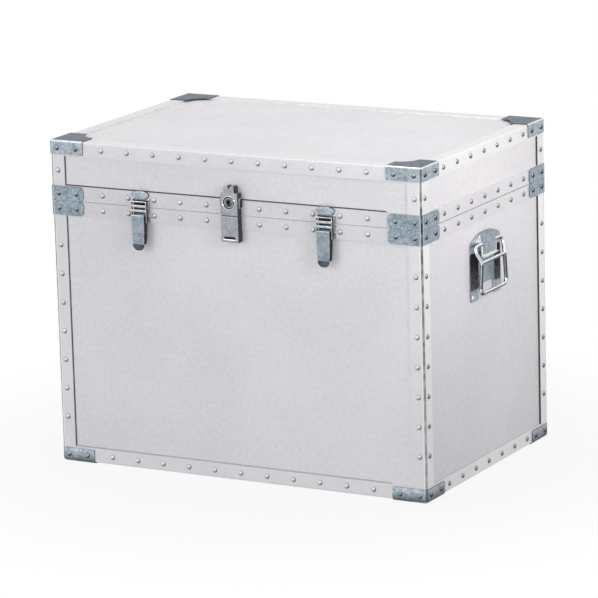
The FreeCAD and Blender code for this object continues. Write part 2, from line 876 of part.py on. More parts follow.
riveted_both_sides("latch_base", "case", latch_base(), latch_spots(num("pivot_z")))
riveted_both_sides("latch_keeper", "lid", latch_keeper(), latch_spots(lid_row))
both_sides("latch_lever", latch_lever())
both_sides("latch_loop", latch_loop())
latch_pin = cylinder(
    "latch_pin_body", "x", ("latch_x - lever_width / 2", "pivot_y", "pivot_z"), "lever_width", "latch_pin",
)
node("latch_pins", pair("latch_pin_pair", latch_pin, "x"))


# Key lock: a half on the lid with the plug and the bolt, a half on the case that the bolt hooks

def lock_block(name, half_width, low, high, back="-strip_y"):
    return box(name, (f"-{half_width}", "lock_y", low), (half_width, back, high))


def lock_shell(name, block, pads):
    """A lock half with its upright front edges rounded, and pads that reach the skin beside the strip."""
    def front_edge(edge):
        middle = edge.CenterOfMass
        return lies_along(edge, "z", y=num("lock_y")) and abs(middle.x) > num("crown_width") / 2 - 0.01
    return fuse(f"{name}_shell", rounded(f"{name}_rounded", block, num("lock_round"), front_edge), *pads)


def lock_case():
    upper = "lid_rim + lock_upper"
    block = fuse(
        "lock_upper_block",
        lock_block("lock_upper_box", "lock_width / 2", "lid_rim", upper),
        lock_block("lock_crown_box", "crown_width / 2", upper, f"{upper} + lock_crown"),
    )
    rim_edge = "lid_rim + rim_width"
    pads = [
        box(
            "lock_upper_pad",
            ("-lock_width / 2", "-strip_y", rim_edge),
            ("lock_width / 2", "-skin_y", upper),
        ),
        box(
            "lock_crown_pad", ("-crown_width / 2", "-strip_y", upper),
            ("crown_width / 2", "-skin_y", f"{upper} + lock_crown"),
        ),
    ]
    shell = lock_shell("lock_upper", block, pads)
    ring = cylinder("lock_ring", "y", ("0", "lock_y - ring_proud", "plug_z"), "ring_proud", "ring_width")
    bore = cylinder(
        "lock_bore", "y", ("0", "lock_y - ring_proud", "plug_z"),
        "bolt_front - bolt_play - lock_y + ring_proud", "plug_width + 2 * pin_fit",
    )
    room = "(bolt_width / 2 + 2 * cam_throw + bolt_play)"
    chamber = box(
        "lock_chamber", (f"-{room}", "bolt_front - bolt_play", "lid_rim"),
        (room, "bolt_y + bolt_play", "plug_z + plug_width / 2"),
    )
    return cut("lock_case_body", fuse("lock_upper_ringed", shell, ring), bore, chamber)


def lock_plug():
    """The turning plug: a keyhole in front, a cam pin off its middle behind."""
    barrel = cylinder(
        "plug_barrel", "y", ("0", "lock_y - ring_proud - plug_proud", "plug_z"),
        "bolt_front - bolt_play - lock_y + ring_proud + plug_proud", "plug_width",
    )
    pin = cylinder(
        "plug_cam", "y", ("-cam_throw", "bolt_front - bolt_play - cam_pin", "plug_z - cam_throw"),
        "cam_pin + bolt_sheet + bolt_play", "cam_pin",
    )
    slot = box(
        "plug_keyhole",
        ("-key_slot / 2", "lock_y - ring_proud - plug_proud", "plug_z - key_slot_length / 2"),
        ("key_slot / 2", "lock_y - ring_proud - plug_proud + key_slot_depth", "plug_z + key_slot_length / 2"),
    )
    return cut("plug_body", fuse("plug_turned", barrel, pin), slot)


def lock_bolt():
    """A plate that the cam slides sideways; its tail hangs through the seam and ends in a hook."""
    west = "-bolt_width / 2"
    plate = box(
        "bolt_plate", (west, "bolt_front", "lid_rim + bolt_play"),
        ("bolt_width / 2", "bolt_y", "plug_z + plug_width / 2 - bolt_play"),
    )
    low = "case_rim - hook_drop"
    tail = box("bolt_tail_bar", (west, "bolt_front", low), (f"{west} + bolt_tail", "bolt_y", "plug_z"))
    hook = box("bolt_hook_bar", (west, "bolt_front", low), ("hook_x", "bolt_y", f"{low} + hook_sheet"))
    swing = "cam_throw * sqrt(2)"
    half = "(cam_pin / 2 + cam_play)"
    slot = box(
        "bolt_slot", (f"-cam_throw - {half}", "bolt_front", f"plug_z - {swing} - {half}"),
        (f"-cam_throw + {half}", "bolt_y", f"plug_z - cam_throw + {half}"),
    )
    return cut("bolt_body", fuse("bolt_bar", plate, tail, hook), slot)


def lock_receiver():
    low = "case_rim - lock_lower"
    block = lock_block("lock_lower_box", "lock_width / 2", low, "case_rim")
    pad = box(
        "lock_lower_pad", ("-lock_width / 2", "-strip_y", low),
        ("lock_width / 2", "-skin_y", "case_rim - rim_width"),
    )
    shell = lock_shell("lock_lower", block, [pad])
    west = "-bolt_width / 2 - 2 * bolt_play"
    front = "bolt_front - 2 * bolt_play"
    back = "bolt_y + 2 * bolt_play"
    mouth = box("catch_mouth", (west, front, "case_rim - catch_wall"), ("catch_x", back, "case_rim"))
    pocket = box(
        "catch_pocket", (west, front, "case_rim - catch_depth"),
        ("catch_x + 2 * cam_throw + bolt_play", back, "case_rim - catch_wall"),
    )
    finger_slot = box(
        "lock_slot", ("-slot_width / 2", "lock_y", f"{low} + slot_rise"),
        ("slot_width / 2", "lock_y + slot_depth", f"{low} + slot_rise + slot_height"),
    )
    return cut("receiver_body", shell, mouth, pocket, finger_slot)


node("lock_case", lock_case())
node("lock_plug", lock_plug())
node("lock_bolt", lock_bolt())
node("lock_receiver", lock_receiver())


# Bail handles, made on the right and mirrored to the left

def handle_plate():
    """A plate with an arched top, and a raised strap that holds the bail's rod."""
    sheet = box(
        "handle_sheet", ("skin_x", "-handle_width / 2", "handle_height - handle_drop"),
        ("handle_face", "handle_width / 2", "handle_height + handle_rise"),
    )
    arch = cylinder(
        "handle_arch", "x", ("skin_x", "0", "handle_height + handle_rise - crown_radius"),
        "hardware_sheet", "2 * crown_radius",
    )
    strap = profile(
        "handle_strap", "XZ",
        [
            ("skin_x", "handle_height - strap_drop"),
            ("handle_face + strap_stand", "handle_height - strap_drop"),
            ("handle_face + strap_stand", "handle_height + handle_rise - strap_slope"),
            ("handle_face", "handle_height + handle_rise"),
            ("skin_x", "handle_height + handle_rise"),
        ],
        "strap_width",
    )
    bind(strap, "Placement.Base.y", "strap_width / 2")
    arched = common("handle_arched", sheet, arch)
    strap_arched = cut("handle_strap_arched", strap, cut("handle_over_arch", sheet_above(), arch))
    body = fuse("handle_body", arched, strap_arched)
    bore = cylinder(
        "strap_bore", "y", ("bail_x", "-strap_width", "handle_height"),
        "2 * strap_width", "bail_rod + 2 * pin_fit",
    )
    return cut("handle_bored", body, bore)


def sheet_above():
    """The corner of the plate's blank that lies above the arch."""
    return box(
        "handle_blank", ("skin_x", "-handle_width / 2", "handle_height"),
        ("handle_face", "handle_width / 2", "handle_height + handle_rise"),
    )


def bent_rod(corners, bend, diameter):
    """A closed ring of round rod through some corners, each rounded to the bend's radius."""
    edges = []
    count = len(corners)
    starts = []
    ends = []
    for i in range(count):
        before = corners[i - 1]
        corner = corners[i]
        after = corners[(i + 1) % count]
        back = (before - corner).normalize()
        ahead = (after - corner).normalize()
        half = back.getAngle(ahead) / 2
        inset = bend / math.tan(half)
        middle = corner + (back + ahead).normalize() * (bend / math.sin(half) - bend)
        starts.append(corner + back * inset)
        ends.append(corner + ahead * inset)
        edges.append(Part.Arc(starts[i], middle, ends[i]).toShape())
    for i in range(count):
        edges.append(Part.LineSegment(ends[i], starts[(i + 1) % count]).toShape())
    spine = Part.Wire(Part.__sortEdges__(edges))
    first = spine.OrderedEdges[0]
    start = first.valueAt(first.FirstParameter)
    heading = first.tangentAt(first.FirstParameter)
    section = Part.Wire(Part.makeCircle(diameter / 2, start, heading))
    return spine.makePipeShell([section], True, False)


def handle_bail():
    """A ring of rod: a straight run under the strap, shoulders that stand off, a grip below."""
    pivot_x = num("bail_x")
    pivot_z = num("handle_height")
    shoulder = num("bail_shoulder") / 2
    half = num("bail_width") / 2
    out = pivot_x + num("bail_out")
    bar_z = pivot_z - num("bail_bar_drop")
    low_z = pivot_z - num("bail_drop")
    right_half = [
        FreeCAD.Vector(pivot_x, shoulder, pivot_z),
        FreeCAD.Vector(out, half, bar_z),
        FreeCAD.Vector(out, half, low_z),
    ]
    left_half = [FreeCAD.Vector(point.x, -point.y, point.z) for point in reversed(right_half)]
    rod = num("bail_rod")
    ring = bent_rod(right_half + left_half, num("bail_bend"), rod)
    bar = Part.makeCylinder(rod / 2, 2 * half, FreeCAD.Vector(out, -half, bar_z), FreeCAD.Vector(0, 1, 0))
    bail = doc.addObject("Part::Feature", "bail_body")
    bail.Shape = ring.fuse(bar).removeSplitter()
    return bail


def handle_spots():
    low = num("handle_height") - num("handle_drop") + num("handle_rivet_inset")
    high = num("handle_height") - num("handle_rivet_drop")
    reach = num("handle_width") / 2 - num("handle_rivet_inset")
    return [spot(num("handle_face"), side * reach, z, "right") for z in (low, high) for side in (-1, 1)]


riveted_both_sides("handle_plate", "case", handle_plate(), handle_spots())
both_sides("handle_bail", handle_bail())


# Hinges at the back, made on the right and mirrored to the left

def hinge_leaf(name, side, indices):
    """A leaf on the back of the rim with its knuckles; side is -1 below the seam, 1 above it."""
    reach = "(hinge_barrel / 2 + hinge_play)"
    near = f"seam_height + {side} * {reach}"
    far = f"seam_height + {side} * (seam_gap / 2 + hinge_leaf)"
    low, high = (far, near) if side < 0 else (near, far)
    pieces = [
        box(
            f"{name}_flat", ("hinge_x - hinge_width / 2", "strip_y", low),
            ("hinge_x + hinge_width / 2", "strip_y + hardware_sheet", high),
        ),
    ]
    tab_low, tab_high = (near, "seam_height") if side < 0 else ("seam_height", near)
    for index in indices:
        west = f"hinge_x - hinge_width / 2 + {index} * knuckle + hinge_play / 2"
        length = "knuckle - hinge_play"
        pieces.append(cylinder(
            f"{name}_barrel_{index}", "x", (west, "hinge_y", "seam_height"), length, "hinge_barrel"))
        pieces.append(box(
            f"{name}_tab_{index}", (west, "strip_y", tab_low),
            (f"{west} + {length}", "strip_y + hardware_sheet", tab_high)))
    bore = cylinder(
        f"{name}_bore", "x", ("hinge_x - hinge_width", "hinge_y", "seam_height"),
        "2 * hinge_width", "hinge_pin + 2 * pin_fit",
    )
    return cut(f"{name}_bored", fuse(f"{name}_body", *pieces), bore)


def hinge_spots(z):
    face = num("strip_y") + num("hardware_sheet")
    places = [num("hinge_x") + step * num("hinge_rivet_pitch") for step in (-1, 0, 1)]
    return [spot(x, face, z, "back") for x in places]


riveted_both_sides(
    "hinge_case_leaf", "case", hinge_leaf("hinge_case", -1, (0, 2, 4)), hinge_spots(case_row),
)
riveted_both_sides("hinge_lid_leaf", "lid", hinge_leaf("hinge_lid", 1, (1, 3)), hinge_spots(lid_row))
hinge_pin = cylinder(
    "hinge_pin_body", "x", ("hinge_x - hinge_width / 2", "hinge_y", "seam_height"), "hinge_width", "hinge_pin",
)
node("hinge_pins", pair("hinge_pin_pair", hinge_pin, "x"))


# Lid stays: a slotted bar turns on the lid and slides on a stud in the case

def stay_stud(name, z):
    """A spacer on the board, a pin for the bar, and a head that keeps it on."""
    pin_length = "stay_stand + stay_sheet + 2 * side_play"
    head_x = "inner_x - stay_stand - stay_sheet - side_play - stay_head_sheet"
    return fuse(
        name,
        cylinder(f"{name}_spacer", "x", ("inner_x - stay_stand", "stay_y", z), "stay_stand", "stay_spacer"),
        cylinder(f"{name}_pin", "x", (f"inner_x - ({pin_length})", "stay_y", z), pin_length, "stay_pin"),
        cylinder(f"{name}_head", "x", (head_x, "stay_y", z), "stay_head_sheet", "stay_head"),
    )


def stay_bar():
    west = "stay_x - stay_sheet"
    low = "stay_high - stay_open - stay_end"
    bar = box(
        "stay_flat", (west, "stay_y - stay_bar / 2", low),
        ("stay_x", "stay_y + stay_bar / 2", "stay_high + stay_end"),
    )
    slot_width = "stay_pin + 2 * side_play"
    slot_top = "stay_low"
    slot_end = "stay_high - stay_open"
    slot = box(
        "stay_slot", (west, f"stay_y - ({slot_width}) / 2", slot_end),
        ("stay_x", f"stay_y + ({slot_width}) / 2", slot_top),
    )
    ends = [
        cylinder(f"stay_slot_{name}", "x", (west, "stay_y", z), "stay_sheet", slot_width)
        for name, z in (("top", slot_top), ("end", slot_end))
    ]
    hole = cylinder(
        "stay_hole", "x", (west, "stay_y", "stay_high"), "stay_sheet", "stay_pin + 2 * pin_fit",
    )
    return cut("stay_bar_body", bar, slot, *ends, hole)


node("stay_studs", pair("stay_stud_pair", stay_stud("stay_stud", "stay_low"), "x"))
node("stay_lid_pivots", pair("stay_pivot_pair", stay_stud("stay_pivot", "stay_high"), "x"))
both_sides("stay_bar", stay_bar())


# The two sets of rivets

for owner, shapes in rivet_shapes.items():
    rivets = doc.addObject("Part::Feature", f"{owner}_rivet_set")
    rivets.Shape = Part.makeCompound(shapes)
    node(f"{owner}_rivets", rivets)


doc.recompute()
for thing in doc.Objects:
    if "Invalid" in thing.State or "Error" in thing.State:
        raise RuntimeError(f"{thing.Label} failed: {thing.State}")
for piece in nodes:
    if piece.Shape.isNull() or not piece.Shape.isValid():
        raise RuntimeError(f"{piece.Label} has no valid shape")

os.makedirs("parts", exist_ok=True)
for piece in nodes:
    piece.Shape.exportStep(os.path.join("parts", f"{piece.Label}.step"))
    print(f"{piece.Label}: {len(piece.Shape.Solids)} solids, {piece.Shape.Volume / 1000:.1f} cm3")
print(f"{len(nodes)} nodes, lid stay reaches {num('stay_open'):.1f} mm")
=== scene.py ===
# %% [markdown]
# # A sheet-faced storage trunk
# The trunk is a box of thin boards with a sheet-metal face on each side. Angle strips are riveted
# over every edge, pressed caps protect the corners, and the front has two draw latches and a lock.
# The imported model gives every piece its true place, so the first cell loads it as a fixed frame.

# %% Load the frame
import json
import math
import bmesh
import bpy
from mathutils import Matrix, Vector


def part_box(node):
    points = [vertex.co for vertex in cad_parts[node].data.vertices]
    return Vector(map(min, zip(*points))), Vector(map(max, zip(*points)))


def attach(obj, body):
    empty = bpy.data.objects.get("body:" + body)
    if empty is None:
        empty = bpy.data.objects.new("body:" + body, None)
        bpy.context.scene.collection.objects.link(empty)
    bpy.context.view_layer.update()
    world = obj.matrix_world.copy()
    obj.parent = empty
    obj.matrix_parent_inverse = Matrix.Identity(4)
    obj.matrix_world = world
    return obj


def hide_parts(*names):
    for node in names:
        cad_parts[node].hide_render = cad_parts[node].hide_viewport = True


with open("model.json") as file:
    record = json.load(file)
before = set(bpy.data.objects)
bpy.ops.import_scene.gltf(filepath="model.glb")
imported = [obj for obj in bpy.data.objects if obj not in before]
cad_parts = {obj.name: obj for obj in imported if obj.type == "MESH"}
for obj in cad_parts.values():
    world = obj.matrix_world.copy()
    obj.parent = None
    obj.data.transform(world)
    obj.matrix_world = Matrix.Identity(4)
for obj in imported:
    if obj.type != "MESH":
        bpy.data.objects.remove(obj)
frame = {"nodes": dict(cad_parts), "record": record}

MM = 0.001
scene = bpy.context.scene
nodes = frame["nodes"]
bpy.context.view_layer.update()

# %% [markdown]
# ## Where the photographer stood
# The camera is matched to the photograph by the trunk's corners: a long lens, a little to the right of
# the front and a little above it. The azimuth turns the camera round the trunk, the elevation lifts it,
# and the small roll is the tilt of the picture. Blender's camera looks along its own -Z axis.

# %% Camera
AZIMUTH = math.radians(28.81)
ELEVATION = math.radians(13.136)
ROLL = math.radians(-1.591)
FOCAL_PIXELS = 3931.2
PICTURE_PIXELS = 598
SENSOR_MM = 36.0
CLIP_END = 100
CAMERA_PLACE = Vector((3.37088, -6.14346, 1.91786))

back = Vector((
    math.sin(AZIMUTH) * math.cos(ELEVATION),
    -math.cos(AZIMUTH) * math.cos(ELEVATION),
    math.sin(ELEVATION),
))
right = Vector((math.cos(AZIMUTH), math.sin(AZIMUTH), 0))
level = Matrix((right, back.cross(right), back)).transposed().to_4x4()

camera_data = bpy.data.cameras.new("photo_camera")
camera_data.sensor_width = SENSOR_MM
camera_data.lens = FOCAL_PIXELS / PICTURE_PIXELS * SENSOR_MM
camera_data.clip_end = CLIP_END
camera = bpy.data.objects.new("photo_camera", camera_data)
camera.matrix_world = Matrix.Translation(CAMERA_PLACE) @ level @ Matrix.Rotation(ROLL, 4, "Z")
scene.collection.objects.link(camera)
scene.camera = camera
print(f"lens {camera_data.lens:.1f} mm, {CAMERA_PLACE.length:.2f} m from the origin")

# %% [markdown]
# ## Short words for nodes
# A light or a finish in Blender is a graph of nodes, and one node takes several lines to set up. These
# helpers say it in one. A value that they are given is a number, a colour, a vector or the socket of
# another node, and they set or link it as it needs.


# %% Node helpers
def set_socket(tree, socket, value):
    """Give a socket a plain value, or link it to another socket."""
    if isinstance(value, bpy.types.NodeSocket):
        tree.links.new(value, socket)
    else:
        socket.default_value = (*value, 1) if socket.type == "RGBA" else value


def feed(tree, made, **values):
    """Set a node's inputs by name; underscores stand for the spaces in the names."""
    for label, value in values.items():
        set_socket(tree, made.inputs[label.replace("_", " ")], value)
    return made


def shader_node(tree, kind, **values):
    return feed(tree, tree.nodes.new(f"ShaderNode{kind}"), **values)


def math_node(tree, operation, *values, kind="Math", clamp=False):
    """A number worked out from numbers, or from vectors where the kind is VectorMath."""
    made = tree.nodes.new(f"ShaderNode{kind}")
    made.operation = operation
    if clamp:
        made.use_clamp = True
    for socket, value in zip(made.inputs, values):
        set_socket(tree, socket, value)
    return made.outputs["Value"]


def remap(tree, value, low, high, new_low, new_high, smooth=False):
    """The value's range low to high, moved to a new range and kept inside it."""
    made = shader_node(
        tree, "MapRange", Value=value, From_Min=low, From_Max=high, To_Min=new_low, To_Max=new_high,
    )
    if smooth:
        made.interpolation_type = "SMOOTHSTEP"
    return made.outputs["Result"]


def object_place(tree):
    """Object coordinates: a place on the trunk, in metres."""
    return shader_node(tree, "TexCoord").outputs["Object"]


def mixed_shaders(tree, factor, first, second):
    made = tree.nodes.new("ShaderNodeMixShader")
    for socket, value in zip(made.inputs, (factor, first.outputs[0], second.outputs[0])):
        set_socket(tree, socket, value)
    return made.outputs[0]


def blank_material(name):
    """A new material with no nodes; returns it and its tree."""
    material = bpy.data.materials.new(name)
    material.use_nodes = True
    material.node_tree.nodes.clear()
    return material, material.node_tree


# %% [markdown]
# ## A white studio
# The photograph is a cut-out on white. The world shows plain white to the camera and to reflections,
# and a quieter white lights the trunk. The floor is pale and keeps a soft shadow, so that the trunk
# stands on something; further out it turns to plain white. Four soft boxes do the rest: one on the
# left that throws the latches' shadows to the right, one in front, one above, and a narrow one on the
# right that fades down the side. A dark card, which only reflections see, gives bright metal something
# to mirror.

# %% World
AMBIENT = 0.515
SKY_TINT = (0.95, 0.975, 1.0)
WHITE = (1, 1, 1)

scene.view_settings.view_transform = "Standard"
world = bpy.data.worlds.new("white_studio")
scene.world = world
world.use_nodes = True
sky = world.node_tree
sky.nodes.clear()
path = shader_node(sky, "LightPath").outputs
bounced = math_node(sky, "MAXIMUM", path["Is Glossy Ray"], path["Is Transmission Ray"])
seen = math_node(sky, "MAXIMUM", path["Is Camera Ray"], bounced)
ambient = shader_node(sky, "Background", Color=SKY_TINT, Strength=AMBIENT)
white = shader_node(sky, "Background", Color=WHITE)
shader_node(sky, "OutputWorld", Surface=mixed_shaders(sky, seen, ambient, white))
print(f"ambient light {AMBIENT}")

# %% Floor
FLOOR_SIZE = 60
FLOOR_GREY = (0.6, 0.6, 0.6)
GLOW_FROM, GLOW_TO = 0.4, 0.95
GLOW_NEAR, GLOW_FAR = 0.9, 1.0


def flat_sheet(width, height):
    """One flat face about the origin."""
    bm = bmesh.new()
    bmesh.ops.create_grid(bm, x_segments=1, y_segments=1, size=0.5)
    bmesh.ops.scale(bm, vec=(width, height, 1), verts=bm.verts)
    return bm


def stage_piece(name, bm, material):
    """A mesh that belongs to the studio, and not to the trunk."""
    mesh = bpy.data.meshes.new(name)
    bm.to_mesh(mesh)
    bm.free()
    mesh.materials.append(material)
    obj = bpy.data.objects.new(name, mesh)
    scene.collection.objects.link(obj)
    return obj


floor_paint, tree = blank_material("pale floor")
path = shader_node(tree, "LightPath").outputs
seen = math_node(tree, "MAXIMUM", path["Is Camera Ray"], path["Is Glossy Ray"])
away = math_node(tree, "LENGTH", object_place(tree), kind="VectorMath")
fade = remap(tree, away, GLOW_FROM, GLOW_TO, GLOW_NEAR, GLOW_FAR, smooth=True)
share = math_node(tree, "MULTIPLY", seen, fade)
paint = shader_node(tree, "BsdfDiffuse", Color=FLOOR_GREY)
glow = shader_node(tree, "Emission")
shader_node(tree, "OutputMaterial", Surface=mixed_shaders(tree, share, paint, glow))
stage_piece("floor", flat_sheet(FLOOR_SIZE, FLOOR_SIZE), floor_paint)
print(f"floor {FLOOR_SIZE} m wide")

# %% Soft boxes and the dark card
# Each box has its place, the point it looks at, its size, power, spread in degrees and tint.
SOFT_BOXES = {
    "left_box": ((-2.6, -4.0, 1.9), (0, -0.25, 0.35), 1.4, 28, 180, (1.0, 0.985, 0.995)),
    "front_box": ((1.7, -4.0, 0.9), (0.25, -0.25, 0.2), 1.4, 23, 180, (1.0, 0.975, 0.985)),
    "top_box": ((-0.4, -0.1, 3.0), (-0.1, -0.1, 0.6), 1.5, 16.3, 180, (1.0, 0.945, 0.875)),
    "right_box": ((1.5, -0.7, 1.05), (0.37, 0.05, 0.72), 0.5, 1.95, 54, (1.0, 0.94, 0.905)),
}
CARD_PLACE = Vector((2.3, -1.5, 0.45))
CARD_TARGET = Vector((0, 0, 0.4))
CARD_SIZE = (1.5, 1.0)
CARD_TONE = (0.02, 0.02, 0.022)
CARD_ROUGHNESS = 0.9


def placed(bm, matrix):
    """Move a whole mesh by a matrix."""
    bmesh.ops.transform(bm, matrix=matrix, verts=bm.verts)
    return bm


for name, (place, target, size, power, spread, tint) in SOFT_BOXES.items():
    lamp = bpy.data.lights.new(name, "AREA")
    lamp.shape = "SQUARE"
    lamp.size = size
    lamp.energy = power
    lamp.spread = math.radians(spread)
    lamp.color = tint
    holder = bpy.data.objects.new(name, lamp)
    holder.location = place
    holder.visible_camera = False
    holder.rotation_euler = (Vector(target) - Vector(place)).to_track_quat("-Z", "Y").to_euler()
    scene.collection.objects.link(holder)

card_paint, tree = blank_material("dark card")
paint = shader_node(tree, "BsdfPrincipled", Base_Color=CARD_TONE, Roughness=CARD_ROUGHNESS)
shader_node(tree, "OutputMaterial", Surface=paint.outputs["BSDF"])
towards = (CARD_TARGET - CARD_PLACE).to_track_quat("Z", "Y").to_matrix().to_4x4()
card_sheet = placed(flat_sheet(*CARD_SIZE), Matrix.Translation(CARD_PLACE) @ towards)
card = stage_piece("dark_card", card_sheet, card_paint)
card.visible_camera = card.visible_diffuse = card.visible_shadow = False
print(f"{len(SOFT_BOXES)} soft boxes")

# %% [markdown]
# ## Shared finishes as node groups
# Rolled sheet is never one even tone: it has broad clouds, a fine grain that runs one way, and specks.
# Plated steel has a faint crystal pattern, the spangle. Along the upright corners a dark line is
# painted, partly wear and partly a painted dark reflection, with a painted highlight beside it. Domes
# and rods of bright metal mirror a bright sky on one side and a dark floor on the other; the last group
# paints that reflection into their colour, as painted light and shade, from the direction in which the
# surface faces. Each effect is a node group, built once and placed in every material that needs it,
# with its own values.


# %% Node groups
def shader_group(name, inputs, outputs):
    """An empty shader group with float inputs (name: value) and named outputs."""
    group = bpy.data.node_groups.new(name, "ShaderNodeTree")
    for label, value in inputs.items():
        socket = group.interface.new_socket(name=label, in_out="INPUT", socket_type="NodeSocketFloat")
        socket.default_value = value
    for label in outputs:
        group.interface.new_socket(name=label, in_out="OUTPUT", socket_type="NodeSocketFloat")
    return group, group.nodes.new("NodeGroupInput").outputs, group.nodes.new("NodeGroupOutput")


def noise(tree, vector, scale, detail, roughness=0.55):
    made = shader_node(
        tree, "TexNoise", Vector=vector, Scale=scale, Detail=detail, Roughness=roughness,
    )
    return made.outputs["Fac"]


def stretched(tree, vector, scale):
    """Coordinates drawn out along the axes with the small factors."""
    return shader_node(tree, "Mapping", Vector=vector, Scale=scale).outputs["Vector"]


GRAIN_DRAW = (1, 1, 0.07)
rolled_sheet, given, put = shader_group(
    "rolled_sheet", {"Cloud Scale": 4, "Grain Scale": 90}, ("Cloud", "Grain", "Speck"),
)
place = object_place(rolled_sheet)
drawn_out = stretched(rolled_sheet, place, GRAIN_DRAW)
feed(
    rolled_sheet, put,
    Cloud=noise(rolled_sheet, place, given["Cloud Scale"], 3),
    Grain=noise(rolled_sheet, drawn_out, given["Grain Scale"], 7, 0.7),
    Speck=noise(rolled_sheet, place, given["Grain Scale"], 4, 0.75),
)

spangle, given, put = shader_group(
    "spangle", {"Crystal Scale": 160, "Stain Scale": 30}, ("Crystal", "Stain"),
)
place = object_place(spangle)
cells = shader_node(spangle, "TexVoronoi", Vector=place, Scale=given["Crystal Scale"])
tone = shader_node(spangle, "SeparateColor", Color=cells.outputs["Color"])
stain = noise(spangle, place, given["Stain Scale"], 5, 0.65)
feed(spangle, put, Crystal=tone.outputs["Red"], Stain=stain)

# Painted light: the dark corner line is partly wear and partly a painted dark reflection, and the pale
# line beside it is a painted highlight.
LINE_PATCHES = 60
SHINE_WIDTH = 3.0
corner_wear_and_sheen, given, put = shader_group("corner_wear_and_sheen", {"Reach": 0.62, "Fade": 0.0007}, ("Rub", "Shine"))
place = object_place(corner_wear_and_sheen)
x, y, z = shader_node(corner_wear_and_sheen, "SeparateXYZ", Vector=place).outputs
across = math_node(corner_wear_and_sheen, "ABSOLUTE", x)
deep = math_node(corner_wear_and_sheen, "ABSOLUTE", y)
far = math_node(corner_wear_and_sheen, "ADD", across, deep)
start = math_node(corner_wear_and_sheen, "SUBTRACT", given["Reach"], given["Fade"])
past = math_node(corner_wear_and_sheen, "SUBTRACT", far, start)
edge = math_node(corner_wear_and_sheen, "DIVIDE", past, given["Fade"], clamp=True)
before = math_node(corner_wear_and_sheen, "DIVIDE", past, given["Fade"])
patch = remap(corner_wear_and_sheen, noise(corner_wear_and_sheen, place, LINE_PATCHES, 4), 0.3, 0.6, 0.55, 1)
line_strength = math_node(corner_wear_and_sheen, "MULTIPLY", patch, remap(corner_wear_and_sheen, z, 0.1, 0.5, 0.7, 1))
feed(
    corner_wear_and_sheen, put,
    Rub=math_node(corner_wear_and_sheen, "MULTIPLY", edge, line_strength),
    Shine=math_node(corner_wear_and_sheen, "ADD", before, SHINE_WIDTH, clamp=True),
)

LIT_FROM = Vector((-0.4, -0.38, 0.83)).normalized()
lit_side, given, put = shader_group("lit_side", {"Low": -0.2, "High": 0.5}, ("Lit",))
faced = shader_node(lit_side, "TexCoord").outputs["Normal"]
facing_light = math_node(lit_side, "DOT_PRODUCT", faced, LIT_FROM, kind="VectorMath")
feed(lit_side, put, Lit=remap(lit_side, facing_light, given["Low"], given["High"], 0, 1, smooth=True))
print("node groups:", rolled_sheet.name, spangle.name, corner_wear_and_sheen.name, lit_side.name)

# %% [markdown]
# ## Finishes
# Every finish is a Principled shader. Its colour and roughness drift with the groups above, so no
# surface is one flat tone, and a bump node gives the grain some relief. Noise keeps mostly between two
# values, and these are taken as the ends of its range.

# %% Ways to make a finish
NOISE_LOW, NOISE_HIGH = 0.3, 0.7
SPECK = 0.8
# The pale colours are painted highlights beside the dark lines along the upright corners, and the dark
# ones are those lines, partly wear and partly painted dark reflection. The last colour is the dark of a
# lowest part, partly dirt and partly painted contact shade.
STRIP_HIGHLIGHT, STRIP_CORNER_DARK = (0.93, 0.925, 0.93), (0.06, 0.055, 0.055)
PLATE_HIGHLIGHT, PLATE_CORNER_DARK = (0.5, 0.56, 0.6), (0.03, 0.033, 0.036)
DIRT_AND_SHADE_TONE = (0.02, 0.023, 0.026)


def finish(name, metallic, specular=0.5):
    """A new material with its shader; returns the material, its tree and the shader."""
    material, tree = blank_material(name)
    shader = shader_node(tree, "BsdfPrincipled", Metallic=metallic, Specular_IOR_Level=specular)
    shader_node(tree, "OutputMaterial", Surface=shader.outputs["BSDF"])
    return material, tree, shader


def mixed(tree, factor, first, second):
    """A colour between two colours."""
    made = tree.nodes.new("ShaderNodeMix")
    made.data_type = "RGBA"
    return feed(tree, made, Factor=factor, A=first, B=second).outputs["Result"]


def surfaced(tree, shader, colour, drift, roughness, depth):
    """Give a shader its colour, and a drifting value as its roughness and its relief in metres."""
    bump = shader_node(tree, "Bump", Height=drift, Distance=depth, Strength=1.0)
    rough = remap(tree, drift, NOISE_LOW, NOISE_HIGH, *roughness)
    feed(tree, shader, Base_Color=colour, Roughness=rough, Normal=bump.outputs["Normal"])


def placed_group(tree, group, **values):
    """A group set in a material, with its own values; returns its outputs."""
    made = tree.nodes.new("ShaderNodeGroup")
    made.node_tree = group
    return feed(tree, made, **values).outputs


def dark_corner_lines(tree, colour, reach, pale, dark):
    """A dark line along the trunk's upright corners, partly wear and partly a painted dark reflection,
    with a painted highlight on each side of it.
    """
    corner_marks = placed_group(tree, corner_wear_and_sheen, Reach=reach)
    highlighted_colour = mixed(tree, corner_marks["Shine"], colour, pale)
    return mixed(tree, corner_marks["Rub"], highlighted_colour, dark)


def sheet_finish(name, light, dark, roughness, texture, metallic=0.25, corner_line_reach=None):
    """Rolled sheet; texture is the scale of its clouds, the scale of its grain and its relief."""
    material, tree, shader = finish(name, metallic)
    cloud_scale, grain_scale, depth = texture
    drift = placed_group(tree, rolled_sheet, Cloud_Scale=cloud_scale, Grain_Scale=grain_scale)
    cloud = remap(tree, drift["Cloud"], NOISE_LOW, NOISE_HIGH, 0, 1)
    fine = remap(tree, drift["Speck"], NOISE_LOW, NOISE_HIGH, -SPECK, SPECK)
    colour = mixed(tree, math_node(tree, "ADD", cloud, fine, clamp=True), dark, light)
    # A dark line along the upright corners, partly wear and partly painted dark reflection, with a
    # painted highlight beside it.
    if corner_line_reach:
        colour = dark_corner_lines(tree, colour, corner_line_reach, STRIP_HIGHLIGHT, STRIP_CORNER_DARK)
    surfaced(tree, shader, colour, drift["Grain"], roughness, depth)
    return material


